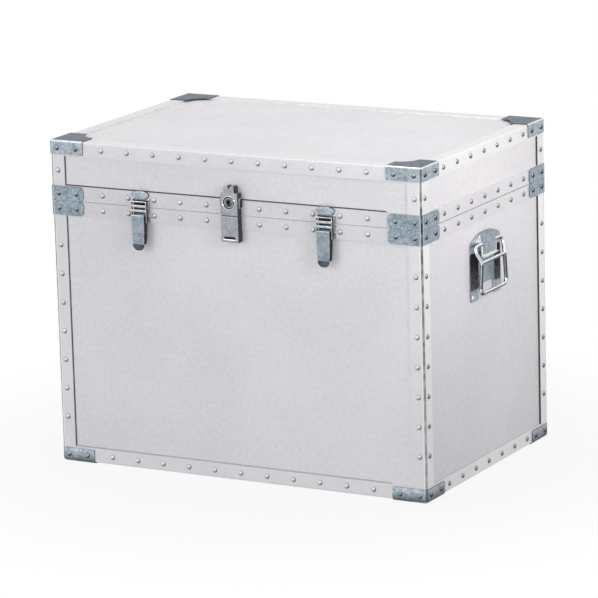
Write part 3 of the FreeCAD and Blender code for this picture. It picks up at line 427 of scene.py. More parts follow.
def plated_finish(
    name, light, dark, roughness, texture, metallic=0.85, corner_line_reach=None, shade=None, dirt_and_shade=None, specular=0.5,
):
    """Plated steel; texture is the scale of its crystals, the scale of its stains and its relief.

    shade is the colour of the painted shade on the side that faces away from the light, and two limits.
    The last value is the height to which the lowest part is painted dark, partly dirt and partly painted
    contact shade.
    """
    material, tree, shader = finish(name, metallic, specular)
    crystal_scale, stain_scale, depth = texture
    drift = placed_group(tree, spangle, Crystal_Scale=crystal_scale, Stain_Scale=stain_scale)
    crystal = remap(tree, drift["Crystal"], 0, 1, 0.05, 0.95)
    stained = math_node(tree, "MULTIPLY_ADD", drift["Stain"], 1.8, -0.9)
    colour = mixed(tree, math_node(tree, "ADD", crystal, stained, clamp=True), dark, light)
    # A dark line along the upright corners, partly wear and partly painted dark reflection, with a
    # painted highlight beside it.
    if corner_line_reach:
        colour = dark_corner_lines(tree, colour, corner_line_reach, PLATE_HIGHLIGHT, PLATE_CORNER_DARK)
    if shade:
        turned_away, low, high = shade
        lit = placed_group(tree, lit_side, Low=low, High=high)
        colour = mixed(tree, lit["Lit"], turned_away, colour)
    # The lowest part is painted darker: partly dirt, partly painted contact shade.
    if dirt_and_shade:
        height = shader_node(tree, "SeparateXYZ", Vector=object_place(tree)).outputs["Z"]
        ragged = math_node(tree, "MULTIPLY_ADD", drift["Stain"], -dirt_and_shade, height)
        colour = mixed(tree, remap(tree, ragged, -dirt_and_shade / 2, dirt_and_shade, 0, 1), DIRT_AND_SHADE_TONE, colour)
    surfaced(tree, shader, colour, drift["Stain"], roughness, depth)
    return material


# %% Rolled sheet and painted shadow lines
PANEL, STRIP = (5, 130, 0.00004), (9, 160, 0.00003)
SAWN, SHADOW_LINE_GRAIN = (40, 300, 0.00003), (60, 300, 0.00005)
SATIN = (0.36, 0.48)
# Where the strips' dark corner line lies: partly wear, partly painted dark reflection.
STRIP_LINE_REACH = 0.6192

panel = sheet_finish("satin panel sheet", (0.805, 0.8, 0.827), (0.735, 0.73, 0.762), (0.42, 0.55), PANEL)
edging = sheet_finish(
    "edging strip", (0.824, 0.82, 0.846), (0.77, 0.766, 0.795), SATIN, STRIP, corner_line_reach=STRIP_LINE_REACH,
)
# A copy of the strip finish painted lighter, as painted light, for the faces that look right or left.
painted_light_edging = sheet_finish(
    "side edging strip painted lighter", (0.95, 0.945, 0.955), (0.91, 0.905, 0.915), SATIN, STRIP, 0.2, STRIP_LINE_REACH,
)
rim_strip = sheet_finish("rim strip", (0.756, 0.752, 0.782), (0.688, 0.684, 0.714), SATIN, STRIP)
cut_edge = sheet_finish("cut edge", (0.8, 0.8, 0.81), (0.68, 0.68, 0.69), (0.5, 0.7), SAWN)
# Painted shadow lines: the shade that the strips' steps cast on the panels, laid there as thin sheets;
# the pale one is a lighter shadow line. The gasket in the seam takes them too.
shadow_line_paint = sheet_finish(
    "painted shadow line", (0.09, 0.09, 0.095), (0.05, 0.05, 0.055), (0.6, 0.8), SHADOW_LINE_GRAIN, 0.0,
)
pale_shadow_line_paint = sheet_finish(
    "pale painted shadow line", (0.55, 0.55, 0.56), (0.45, 0.45, 0.46), (0.6, 0.8), SHADOW_LINE_GRAIN, 0.0,
)

# %% Plated caps and fittings
PRESSED, FITTED = (300, 70, 0.00008), (220, 60, 0.00004)
MILLED, FINE_GRAIN = (260, 60, 0.00003), (300, 90, 0.00002)
CAP_ROUGHNESS = (0.26, 0.46)
# Where the dark corner lines on the caps and the feet lie: partly wear, partly painted dark reflection.
CAP_LINE_REACH, FOOT_LINE_REACH = 0.6223, 0.6203
FOOT_SHADE = ((0.1, 0.12, 0.14), -1.2, 0.2)
# How high the feet's lowest part is painted darker: partly dirt, partly painted contact shade.
FOOT_DIRT_AND_SHADE = 0.014

cap_plating = plated_finish(
    "plated cap", (0.4, 0.47, 0.53), (0.2, 0.255, 0.3), CAP_ROUGHNESS, PRESSED, corner_line_reach=CAP_LINE_REACH,
)
# Painted dark reflection on the flat of a cap's plate; the same finish is painted shade in the latches'
# dark throats and on the feet's bottom plates.
dark_reflection_and_shade = plated_finish("painted dark reflection and shade", (0.11, 0.155, 0.205), (0.035, 0.057, 0.08), (0.3, 0.5), PRESSED)
lid_cap_plating = plated_finish(
    "lid cap plating", (0.5, 0.56, 0.62), (0.26, 0.31, 0.35), CAP_ROUGHNESS, PRESSED, corner_line_reach=CAP_LINE_REACH,
)
# A painted highlight: on the lid caps' folds, on the lock's lip, eased edge and ring, on the handle
# strap's lip and cheeks, and on the handle rivets.
painted_highlight = plated_finish(
    "painted highlight", (0.92, 0.94, 0.95), (0.74, 0.78, 0.8), (0.14, 0.28), FINE_GRAIN, 0.9,
)
foot_plating = plated_finish(
    "foot plating", (0.66, 0.73, 0.81), (0.3, 0.36, 0.41), CAP_ROUGHNESS, PRESSED,
    corner_line_reach=FOOT_LINE_REACH, shade=FOOT_SHADE, dirt_and_shade=FOOT_DIRT_AND_SHADE,
)
# Dark cut edges of the caps and plates, darkened further as painted shade; the same finish is painted
# shade on the feet's folds and the levers' tips.
dark_edge_and_shade = plated_finish(
    "dark cut edge and painted shade", (0.12, 0.14, 0.16), (0.05, 0.06, 0.07), (0.4, 0.6), (250, 80, 0.00003),
)
fitting = plated_finish(
    "plated fitting", (0.365, 0.425, 0.485), (0.225, 0.27, 0.315), (0.24, 0.4), FITTED,
)
# Painted shade: the levers' cheeks, the keepers' walls and hooks, the loops' sides, the lock's hollows
# and the keyhole.
shaded_side = plated_finish(
    "painted shade flank", (0.05, 0.055, 0.06), (0.012, 0.014, 0.016), (0.55, 0.75), FITTED, 0.2, specular=0.15,
)
pale_plate = plated_finish(
    "pale plate", (0.72, 0.73, 0.75), (0.55, 0.56, 0.585), (0.3, 0.45), FITTED, 0.6,
)
lock_flank = plated_finish(
    "lock flank", (0.055, 0.058, 0.062), (0.018, 0.02, 0.022), (0.4, 0.6), MILLED, 0.5,
)
lock_metal = plated_finish(
    "satin lock", (0.43, 0.44, 0.485), (0.31, 0.32, 0.355), (0.3, 0.44), MILLED, 0.7,
)

# %% Rods and rivets
ROLLED, HEADED = (300, 80, 0.00002), (260, 90, 0.00003)
ROD_SHADE = (0.02, 0.023, 0.026)

bright_rod = plated_finish(
    "bright rod", (0.93, 0.95, 0.96), (0.78, 0.81, 0.83), (0.1, 0.22), ROLLED, 1.0,
    shade=(ROD_SHADE, -0.6, 0.22),
)
# Painted shade on the bail's uprights.
shaded_rod = plated_finish(
    "shaded rod", (0.46, 0.49, 0.5), (0.26, 0.28, 0.29), (0.16, 0.3), ROLLED, 1.0,
    shade=(ROD_SHADE, -0.35, 0.45),
)
loop_rod = plated_finish(
    "loop rod", (0.62, 0.64, 0.66), (0.42, 0.44, 0.46), (0.16, 0.3), ROLLED, 1.0,
    shade=(ROD_SHADE, -0.6, 0.3),
)
rivet_metal = plated_finish(
    "dome rivet", (0.76, 0.76, 0.785), (0.6, 0.605, 0.63), (0.36, 0.5), HEADED, 0.7,
    shade=((0.14, 0.14, 0.15), -0.4, 0.55),
)
# The rivet's wall, painted darker as shade.
rivet_wall_shade = plated_finish(
    "rivet wall painted shade", (0.46, 0.465, 0.48), (0.36, 0.365, 0.38), (0.4, 0.55), HEADED, 0.6,
    shade=((0.11, 0.11, 0.118), -0.35, 0.65),
)
cap_rivet = plated_finish(
    "plated rivet", (0.34, 0.41, 0.46), (0.2, 0.26, 0.3), (0.3, 0.46), HEADED,
    shade=((0.03, 0.035, 0.04), -0.2, 0.5),
)
# Painted shade: a thin dark ring round each rivet's foot.
rivet_foot_shade = plated_finish(
    "rivet foot painted shade", (0.16, 0.165, 0.17), (0.07, 0.075, 0.08), (0.5, 0.7), FINE_GRAIN, 0.3,
)
plug_metal = plated_finish(
    "turned plug", (0.2, 0.205, 0.21), (0.08, 0.083, 0.087), (0.16, 0.28), (300, 120, 0.00002), 0.95,
)

# %% Painted shadow pads and plywood
SHADOW_DEEP, SHADOW_FADED = (0.008, 0.008, 0.01), (0.17, 0.175, 0.185)
SHADOW_FADE_TOP, SHADOW_FADE_FOOT = 0.39, 0.345
DARK_WOOD, PALE_WOOD, BROWN_WOOD = (0.50, 0.36, 0.22), (0.68, 0.53, 0.36), (0.56, 0.40, 0.25)

# The pads are painted shadow of the bail and the strap: black at the top and fading to grey lower
# down, with a mottle.
shadow_pad_paint, tree, shader = finish("painted shadow pad", 0.0, 0.1)
place = object_place(tree)
height = shader_node(tree, "SeparateXYZ", Vector=place).outputs["Z"]
mottle = noise(tree, place, 150, 5, 0.65)
lower = remap(tree, height, SHADOW_FADE_TOP, SHADOW_FADE_FOOT, -0.25, 0.3)
fade_out = math_node(tree, "ADD", lower, remap(tree, mottle, 0.35, 0.7, -0.15, 0.6), clamp=True)
surfaced(tree, shader, mixed(tree, fade_out, SHADOW_DEEP, SHADOW_FADED), mottle, (0.6, 0.8), 0.00015)

# The plywood has long grain lines, with slow waves of darker wood.
plywood, tree, shader = finish("plain plywood", 0.0)
place = object_place(tree)
lines = noise(tree, stretched(tree, place, (1, 12, 12)), 14, 8, 0.65)
waves = noise(tree, stretched(tree, place, (1, 4, 4)), 3, 2)
wood = mixed(tree, remap(tree, lines, 0.35, 0.65, 0, 1), DARK_WOOD, PALE_WOOD)
wood = mixed(tree, remap(tree, waves, NOISE_LOW, NOISE_HIGH, 0, 0.5), wood, BROWN_WOOD)
surfaced(tree, shader, wood, lines, (0.55, 0.75), 0.0002)
print("finishes:", ", ".join(material.name for material in bpy.data.materials))

# %% [markdown]
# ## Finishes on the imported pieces
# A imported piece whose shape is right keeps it, and only gets its finish.

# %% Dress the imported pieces
SLOT_FINISH = {
    "board": plywood,
    "panel": panel,
    "edging": edging,
    "cap": cap_plating,
    "rivet": rivet_metal,
    "hardware": fitting,
    "rod": bright_rod,
    "plug": plug_metal,
}
for subpart in frame["record"]["subparts"]:
    mesh = nodes[subpart["node"]].data
    mesh.materials.clear()
    mesh.materials.append(SLOT_FINISH[subpart["material_slot"]])
for name in ("case_rims", "lid_rims"):
    nodes[name].data.materials[0] = rim_strip

# %% [markdown]
# ## Tools for the new pieces
# Most of what protects this trunk is bent or pressed sheet. A sheet is easiest to model as a surface
# without thickness: fold it by extruding edges, round the folds with a bevel, and only then give it
# its thickness. Sizes are in millimetres while a piece is modelled, and the last helper scales the
# mesh to metres and hands it to the body that carries it.

# %% Mesh helpers
SMOOTH_BELOW = math.radians(40)
FOLD_ABOVE = 30
FRONT, RIGHT, BACK, LEFT = 0, 90, 180, 270


def corners(name):
    """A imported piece's lowest and highest corners, in millimetres."""
    low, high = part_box(name)
    return Vector(low) / MM, Vector(high) / MM


def only(geometry, kind):
    """The vertices, edges or faces among an operator's results."""
    return [item for item in geometry if isinstance(item, kind)]


def verts_of(geometry):
    return only(geometry, bmesh.types.BMVert)


def faces_of(geometry):
    return only(geometry, bmesh.types.BMFace)


def centre(face):
    return face.calc_center_median()


def outwards(bm):
    """Turn the faces of a mesh outwards."""
    bmesh.ops.recalc_face_normals(bm, faces=bm.faces[:])
    return bm


def moved(bm, *place):
    return placed(bm, Matrix.Translation(place))


def mirrored(bm, *axes):
    """Add the mirror image across each axis in turn, and turn its faces outwards again."""
    for axis in axes:
        copy = bmesh.ops.duplicate(bm, geom=bm.verts[:] + bm.edges[:] + bm.faces[:])["geom"]
        flip = [-1 if letter == axis else 1 for letter in "xyz"]
        bmesh.ops.scale(bm, vec=flip, verts=verts_of(copy))
        bmesh.ops.reverse_faces(bm, faces=faces_of(copy))
    return bm


def joined(*parts):
    """Several meshes as one mesh."""
    whole = bmesh.new()
    for part in parts:
        mesh = bpy.data.meshes.new("part")
        part.to_mesh(mesh)
        part.free()
        whole.from_mesh(mesh)
        bpy.data.meshes.remove(mesh)
    return whole


def facing(turn, place=(0, 0, 0)):
    """Turns a mesh drawn flat (x across, y up, z towards the viewer) to a side of the trunk."""
    upright = Matrix.Rotation(math.pi / 2, 4, "X")
    return Matrix.Translation(place) @ Matrix.Rotation(math.radians(turn), 4, "Z") @ upright


def painted(bm, number, test=lambda face: True):
    """Give the faces that pass a test one of their piece's finishes."""
    bm.normal_update()
    for face in bm.faces:
        if test(face):
            face.material_index = number
    return bm


def edge_line(bm, verts):
    """Join vertices in a row by edges."""
    return [bm.edges.new(ends) for ends in zip(verts, verts[1:])]


def pulled(bm, edges, step=(0, 0, 0)):
    """Extrude edges and move the new ones; returns the new vertices and the edges at the end."""
    made = bmesh.ops.extrude_edge_only(bm, edges=edges)["geom"]
    fresh = verts_of(made)
    bmesh.ops.translate(bm, vec=step, verts=fresh)
    ends = [edge for edge in only(made, bmesh.types.BMEdge) if set(edge.verts) <= set(fresh)]
    return fresh, ends


def raised(bm, rise):
    """Give faces that are drawn flat a thickness towards the viewer."""
    top = bmesh.ops.extrude_face_region(bm, geom=bm.faces[:])["geom"]
    bmesh.ops.translate(bm, vec=(0, 0, rise), verts=verts_of(top))
    return outwards(bm)


def hollowed(bm, wall):
    """Inset a flat face by a wall, and take its middle out."""
    middle = bm.faces[:]
    bmesh.ops.inset_region(bm, faces=middle, thickness=wall, use_boundary=True, use_even_offset=True)
    bmesh.ops.delete(bm, geom=middle, context="FACES")


def bevelled(bm, geometry, size, segments=4, affect="EDGES"):
    bmesh.ops.bevel(
        bm, geom=geometry, offset=size, affect=affect, segments=segments, profile=0.5, material=-1,
    )
    return bm


def round_folds(bm, radius, segments=4, above=FOLD_ABOVE):
    """Bevel each edge at which two faces of a sheet meet at an angle."""
    folds = [edge for edge in bm.edges if edge.calc_face_angle(0) > math.radians(above)]
    return bevelled(bm, folds, radius, segments)


def thicken(bm, thickness, edge_finish=1):
    """Give a sheet its thickness inwards; the cut edges take another finish."""
    sheet = set(bm.faces)
    sheet.update(faces_of(bmesh.ops.solidify(bm, geom=bm.faces[:], thickness=thickness)["geom"]))
    return painted(bm, edge_finish, lambda face: face not in sheet)


def piece(name, bm, body, finishes, replaces=()):
    """Scale a mesh to metres and make it a piece that rides on a body."""
    bmesh.ops.scale(bm, vec=(MM, MM, MM), verts=bm.verts)
    for edge in bm.edges:
        edge.smooth = edge.calc_face_angle(0) < SMOOTH_BELOW
    for face in bm.faces:
        face.smooth = True
    mesh = bpy.data.meshes.new(name)
    bm.to_mesh(mesh)
    bm.free()
    for material in finishes:
        mesh.materials.append(material)
    obj = bpy.data.objects.new(name, mesh)
    scene.collection.objects.link(obj)
    even = obj.modifiers.new("even shading", "WEIGHTED_NORMAL")
    even.keep_sharp = True
    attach(obj, body)
    if replaces:
        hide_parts(*replaces)
    print(f"{name}: {len(mesh.polygons)} faces on {body}")


# %% [markdown]
# ## Edge strips
# Every edge of the trunk is covered by an angle strip. A strip is drawn here as a folded line that
# is extruded along its length; the fold is rounded with a bevel, so that it catches a line of light,
# and the strip's cut edges are darker than its rolled face. One strip is made for each direction,
# and mirrored to the other sides.

# %% Edge strips
STRIP_WIDTH = 27.0
STRIP_SHEET = 2.5
STRIP_ROUND = 3.0
SHADED_CUT, LIGHTER_SIDE_FACE = 2, 3
SQUARE_ON = 0.9


def folded_sheet(corner, run, leg_a, leg_b):
    """A sheet folded once: its outer corner starts at a point and runs along a vector."""
    bm = bmesh.new()
    line = [bm.verts.new(Vector(corner) + Vector(leg)) for leg in (leg_a, (0, 0, 0), leg_b)]
    pulled(bm, edge_line(bm, line), run)
    return outwards(bm)


def bent_strip(corner, run, leg_a, leg_b):
    return thicken(round_folds(folded_sheet(corner, run, leg_a, leg_b), STRIP_ROUND), STRIP_SHEET)


def post_set(node):
    """Four upright strips, one at each corner; the back pair's front edges are painted dark as shade."""
    low, high = corners(node)
    post = bent_strip(
        (high.x, low.y, low.z), (0, 0, high.z - low.z), (-STRIP_WIDTH, 0, 0), (0, STRIP_WIDTH, 0),
    )
    return painted(
        mirrored(post, "x", "y"), SHADED_CUT,
        lambda face: face.normal.y < -SQUARE_ON and centre(face).y > 0,
    )


def lightened_sides(bm):
    """The rolled faces that look right or left are given a lighter copy of the strip finish, as painted
    light.
    """
    return painted(
        bm, LIGHTER_SIDE_FACE, lambda face: abs(face.normal.x) > SQUARE_ON and face.material_index == 0,
    )


def edge_set(node, corner_z, upright):
    """Four level strips at the top or the bottom, between the posts."""
    low, high = corners(node)
    reach_x = high.x - STRIP_WIDTH
    reach_y = high.y - STRIP_WIDTH
    front = bent_strip(
        (-reach_x, low.y, corner_z), (2 * reach_x, 0, 0), (0, 0, upright), (0, STRIP_WIDTH, 0),
    )
    side = bent_strip(
        (high.x, -reach_y, corner_z), (0, 2 * reach_y, 0), (0, 0, upright), (-STRIP_WIDTH, 0, 0),
    )
    return joined(mirrored(front, "y"), mirrored(side, "x"))


bottom_low = corners("bottom_edges")[0]
lid_top = corners("lid_edges")[1]
bottom_set = lightened_sides(edge_set("bottom_edges", bottom_low.z, STRIP_WIDTH))
# The back posts' front edges take the painted shadow line, and the faces that look right or left take a
# copy of the edging painted lighter.
strip_finishes = [edging, cut_edge, shadow_line_paint, painted_light_edging]
for name, bm, body, node in (
    ("corner_post_strips", lightened_sides(post_set("corner_posts")), "case", "corner_posts"),
    ("lid_post_strips", post_set("lid_posts"), "lid", "lid_posts"),
    ("bottom_edge_strips", bottom_set, "case", "bottom_edges"),
    ("lid_edge_strips", edge_set("lid_edges", lid_top.z, -STRIP_WIDTH), "lid", "lid_edges"),
):
    piece(name, bm, body, strip_finishes, [node])

# %% [markdown]
# ## Lines beside the strips
# Where a strip ends on a broad panel, a narrow line of painted shadow, the shade of the strip's step,
# is laid up the left and along the lower edge, and on the two sides up the back end. It draws the
# trunk's lines.
# Each line starts as a face as large as the panel between its strips and the plate on the right, inset
# by the width of the line; the middle and the other two sides are taken out, and the rest is raised a
# little.

# %% Painted shadow lines
SHADOW_LINE_WIDTH = 2.2
SHADOW_LINE_RISE = 0.5
SHADOW_LINE_STOP = 41.0
SIDE_SHADOW_LINE = 2.6
DARK, PALE = 0, 1

skin_y = -corners("front_skin")[0].y
skin_x = corners("right_skin")[1].x
reach_x = lid_top.x - STRIP_WIDTH
case_rim_low = corners("case_rims")[0].z
case_span = (bottom_low.z + STRIP_WIDTH, case_rim_low)
lid_span = (corners("lid_rims")[1].z, lid_top.z - STRIP_WIDTH)


def shadow_line_sheet(width, height, lower_tone):
    """A line of painted shadow up the left side and one of another tone along the lower side, drawn flat.
    """
    bm = moved(flat_sheet(width - SHADOW_LINE_STOP, height), -SHADOW_LINE_STOP / 2, 0, 0)
    hollowed(bm, SHADOW_LINE_WIDTH)
    spare = [max(bm.faces, key=lambda face: centre(face)[axis]) for axis in (0, 1)]
    bmesh.ops.delete(bm, geom=spare, context="FACES")
    return raised(painted(bm, lower_tone, lambda face: abs(centre(face).x) < width / 4), SHADOW_LINE_RISE)


def shadow_line_set(low, high, lower_tone):
    """The painted shadow lines on the front and the back, and those up the back ends of the two sides."""
    middle = (low + high) / 2
    walls = [
        placed(shadow_line_sheet(2 * reach_x, high - low, lower_tone), facing(turn, (0, y, middle)))
        for turn, y in ((FRONT, -skin_y), (BACK, skin_y))
    ]
    side_place = (skin_x, lid_top.y - STRIP_WIDTH - SIDE_SHADOW_LINE / 2, middle)
    side = placed(raised(flat_sheet(SIDE_SHADOW_LINE, high - low), SHADOW_LINE_RISE), facing(RIGHT, side_place))
    return joined(*walls, mirrored(side, "x"))


shadow_line_finishes = [shadow_line_paint, pale_shadow_line_paint]
piece("case_shadow_lines", shadow_line_set(*case_span, PALE), "case", shadow_line_finishes)
piece("lid_shadow_lines", shadow_line_set(*lid_span, DARK), "lid", shadow_line_finishes)

# %% [markdown]
# ## Corner caps
# A cap is pressed from one sheet: a plate with a hollowed inner edge, and two legs folded down over
# the corner. The plate's outline starts from one vertex that is spun along the hollow, the legs are
# extruded from the plate's outer edges, and the three folds that meet in the corner are rounded.
# The lid's folds are painted bright as a highlight, and the flat of the plate is painted dark as a dark
# reflection. A foot is the same cap upside down, thicker and rounder; its folds at the floor are painted
# dark as shade, the side turned from the light is painted in shade, and its lowest part is darker,
# partly dirt and partly painted contact shade.

# %% Corner caps
CAP_LEG = 69.0
CAP_LOBE = 38.0
LOBE_ROUND = 2.5
CAP_SHEET, FOOT_SHEET = 1.5, 2.5
CAP_ROUND, FOOT_ROUND = 3.6, 7.0
FLAT_DARK_REFLECTION, FOLD_LIGHT_AND_SHADE = 2, 3
ASLANT, LEVEL = 0.3, 0.95


def arc(bm, start, middle, angle, steps):
    """Spin a vertex about a point; returns the last vertex of the arc."""
    bmesh.ops.spin(
        bm, geom=[start], cent=middle, axis=(0, 0, 1), angle=angle, steps=steps,
        use_merge=False, use_duplicate=False,
    )
    bm.verts.ensure_lookup_table()
    return bm.verts[len(bm.verts) - 1]


def cap_shell(height, thickness, fold):
    """A cap at the corner on the right in front, its plate at the origin's level and its legs below."""
    bm = bmesh.new()
    start = bm.verts.new((-CAP_LEG, CAP_LOBE, 0))
    end = arc(bm, start, (-CAP_LEG, CAP_LEG, 0), math.pi / 2, 10)
    outer = [bm.verts.new(place) for place in ((0, CAP_LEG, 0), (0, 0, 0), (-CAP_LEG, 0, 0))]
    sides = edge_line(bm, [end, *outer, start])
    bmesh.ops.contextual_create(bm, geom=bm.edges[:])
    feet, _ = pulled(bm, sides[1:3], (0, 0, -height))
    outwards(bm)
    lobes = [start, end, *(vert for vert in feet if vert.co.xy.length > CAP_LEG / 2)]
    bevelled(bm, lobes, LOBE_ROUND, affect="VERTICES")
    round_folds(bm, fold)
    # On the lid the folds get a painted highlight and the flat a painted dark reflection; on a foot the
    # folds get painted shade.
    painted(bm, FOLD_LIGHT_AND_SHADE, lambda face: face.normal.z > ASLANT)
    painted(bm, FLAT_DARK_REFLECTION, lambda face: face.normal.z > LEVEL)
    return thicken(bm, thickness)


cap_low, cap_high = corners("lid_corner_caps")
cap_height = cap_high.z - cap_low.z
top_cap = moved(cap_shell(cap_height, CAP_SHEET, CAP_ROUND), cap_high.x, cap_low.y, cap_high.z)
# The lid cap's folds take the painted highlight, and the flat of its plate takes the painted dark
# reflection.
cap_finishes = [lid_cap_plating, dark_edge_and_shade, dark_reflection_and_shade, painted_highlight]
piece("lid_caps", mirrored(top_cap, "x", "y"), "lid", cap_finishes, ["lid_corner_caps"])

foot_cap = placed(cap_shell(cap_height, FOOT_SHEET, FOOT_ROUND), Matrix.Diagonal((1, 1, -1, 1)))
bmesh.ops.reverse_faces(foot_cap, faces=foot_cap.faces[:])
foot_set = mirrored(moved(foot_cap, cap_high.x, cap_low.y, 0), "x", "y")
# A foot's folds at the floor take the dark edge finish as painted shade, and its bottom plate takes the
# painted dark finish.
foot_finishes = [foot_plating, dark_edge_and_shade, dark_reflection_and_shade, dark_edge_and_shade]
piece("foot_caps", foot_set, "case", foot_finishes, ["bottom_corner_caps"])

# %% [markdown]
# ## Plates at the corners of the mouth
# Where the lid meets the case, each corner has two short plates bent round it, one above the seam and
# one below. Their free ends are rounded. A thin gasket lies in the seam, a little way back; it takes
# the painted shadow line finishes, dark at the sides and pale in front and behind.

# %% Mouth plates and gasket
PLATE_LEG = 67.0
PLATE_END = 8.0
SEAM_LAP = 0.4
GASKET_BACK = 0.8
GASKET_WALL = 3
GASKET_GAP = 0.1


def mouth_plate(node, body):
    """A plate bent round the corner on the right in front; it runs a little way into the seam."""
    low, high = corners(node)
    low.z -= SEAM_LAP if body == "lid" else 0
    high.z += SEAM_LAP if body == "case" else 0
    run = (0, 0, high.z - low.z)
    bm = folded_sheet((high.x, low.y, low.z), run, (-PLATE_LEG, 0, 0), (0, PLATE_LEG, 0))
    free_ends = [vert for vert in bm.verts if len(vert.link_faces) == 1]
    bevelled(bm, free_ends, PLATE_END, 6, "VERTICES")
    return thicken(round_folds(bm, CAP_ROUND), CAP_SHEET)


for body in ("case", "lid"):
    node = f"{body}_rim_corners"
    plates = mirrored(mouth_plate(node, body), "x", "y")
    piece(f"{body}_mouth_plates", plates, body, [cap_plating, dark_edge_and_shade], [node])

rim_high = corners("case_rims")[1]
seam = corners("lid_rims")[0].z - rim_high.z
gasket = flat_sheet(2 * (rim_high.x - GASKET_BACK), 2 * (rim_high.y - GASKET_BACK))
hollowed(gasket, GASKET_WALL)
moved(raised(gasket, seam - 2 * GASKET_GAP), 0, 0, rim_high.z + GASKET_GAP)
# The gasket is painted as the shade in the seam: dark at the sides, pale in front and behind.
painted(gasket, PALE, lambda face: abs(centre(face).x) <= reach_x)
piece("mouth_gasket", gasket, "case", shadow_line_finishes)

# %% [markdown]
# ## Draw latches
# A latch has a plate with ears on the case, a lever that turns between them, a loop of rod that the
# lever pulls down, and a keeper on the lid. The fittings are drawn flat, as if seen from the front:
# x runs across, y is the height above the floor, and z is the distance out from the trunk's middle.
# The keeper is a small pressed shell: its outline is extruded and drawn in three times to make a dome.

# %% Keepers
KEEPER_WAIST, KEEPER_FOOT, KEEPER_CROWN = 510.5, 503.0, 519.6
KEEPER_HALF, KEEPER_FOOT_HALF = 18.5, 12.0
DOME_STEPS = ((2.4, 0.97), (2.6, 0.86), (1.5, 0.62))
DOME_WALL = 1.4
HOOK_SIZE, HOOK_HEIGHT, HOOK_EASE = (20, 2.5, 10), 496.3, 0.8
LATCH_PLATE, LATCH_CORNER = 40.0, 4
RIM_HEIGHT = 27.0
FITTING_SHEET = 1.8
THROAT_WIDTH, THROAT_CORNER, THROAT_RISE = 29, 1.5, 0.3
BACKING, SHADED_UNDERSIDE, THROAT_SHADE = 1, 2, 3

strip_front = -corners("lid_rims")[0].y
plate_front = strip_front + FITTING_SHEET
latch_low, latch_high = corners("right_latch_base")
latch_x = (latch_low.x + latch_high.x) / 2
latch_sides = (("left", -latch_x), ("right", latch_x))
keeper_low = corners("right_latch_keeper")[0]


def flat_plate(width, height, corner, thickness, place):
    """A flat plate with rounded corners, drawn flat; place is the middle of its back."""
    bm = flat_sheet(width, height)
    bevelled(bm, bm.verts[:], corner, affect="VERTICES")
    return moved(raised(bm, thickness), *place)


def block(size, place):
    """A plain block; place is its middle."""
    bm = bmesh.new()
    bmesh.ops.create_cube(bm, size=1)
    bmesh.ops.scale(bm, vec=size, verts=bm.verts)
    return moved(bm, *place)


def backing_and_throat(low, throat_height, throat_middle):
    """The pale plate under a fitting, and a thin dark plate in front of it, painted as the shade of the
    hollow.
    """
    backing = flat_plate(
        LATCH_PLATE, RIM_HEIGHT, LATCH_CORNER, FITTING_SHEET, (0, low + RIM_HEIGHT / 2, strip_front),
    )
    throat = flat_plate(
        THROAT_WIDTH, throat_height, THROAT_CORNER, THROAT_RISE, (0, throat_middle, plate_front),
    )
    return painted(backing, BACKING), painted(throat, THROAT_SHADE)


def drawn_in(bm, face, rise, shrink):
    """Raise a face and shrink it about its middle; returns the raised face."""
    top = faces_of(bmesh.ops.extrude_face_region(bm, geom=[face])["geom"])[0]
    middle = centre(top)
    bmesh.ops.translate(bm, vec=(0, 0, rise), verts=top.verts)
    bmesh.ops.scale(bm, vec=(shrink, shrink, 1), verts=top.verts, space=Matrix.Translation(-middle))
    return top


def keeper_dome(base_z):
    """The keeper's shell: wide above, narrow below, drawn flat about the latch's middle line."""
    bm = bmesh.new()
    start = bm.verts.new((KEEPER_HALF, KEEPER_WAIST, base_z))
    end = arc(bm, start, (0, KEEPER_WAIST, base_z), math.pi, 14)
    squeeze = (1, (KEEPER_CROWN - KEEPER_WAIST) / KEEPER_HALF, 1)
    about = Matrix.Translation((0, -KEEPER_WAIST, 0))
    bmesh.ops.scale(bm, vec=squeeze, verts=bm.verts, space=about)
    feet = [bm.verts.new((x, KEEPER_FOOT, base_z)) for x in (-KEEPER_FOOT_HALF, KEEPER_FOOT_HALF)]
    edge_line(bm, [end, *feet, start])
    face = bmesh.ops.contextual_create(bm, geom=bm.edges[:])["faces"][0]
    face.normal_update()
    if face.normal.z < 0:
        face.normal_flip()
    for rise, shrink in DOME_STEPS:
        face = drawn_in(bm, face, rise, shrink)
    # The shell's low wall is painted dark as shade.
    return painted(bm, SHADED_UNDERSIDE, lambda face: centre(face).z < base_z + DOME_WALL)


for side, x in latch_sides:
    backing, throat = backing_and_throat(keeper_low.z, 12, keeper_low.z + 6.6)
    hook = block(HOOK_SIZE, (0, HOOK_HEIGHT, strip_front + HOOK_SIZE[2] / 2))
    # The hook is painted dark as shade.
    painted(bevelled(hook, hook.edges[:], HOOK_EASE, 2), SHADED_UNDERSIDE)
    keeper = placed(joined(backing, keeper_dome(plate_front), throat, hook), facing(FRONT, (x, 0, 0)))
    piece(
        f"{side}_keeper_shell", keeper, "lid",
        [lid_cap_plating, pale_plate, shaded_side, dark_reflection_and_shade], [f"{side}_latch_keeper"],
    )

# %% [markdown]
# The lever starts as its top edge. The edge is extruded downwards step by step, each step with its
# own width and stand-off, so that the face tapers and curls in at the tip. The two long sides are
# extruded backwards to make the cheeks, which are dark because they stay in the latch's own shade.
# The loop is a small ladder: a grid of three cells, each inset and opened, then given its depth.

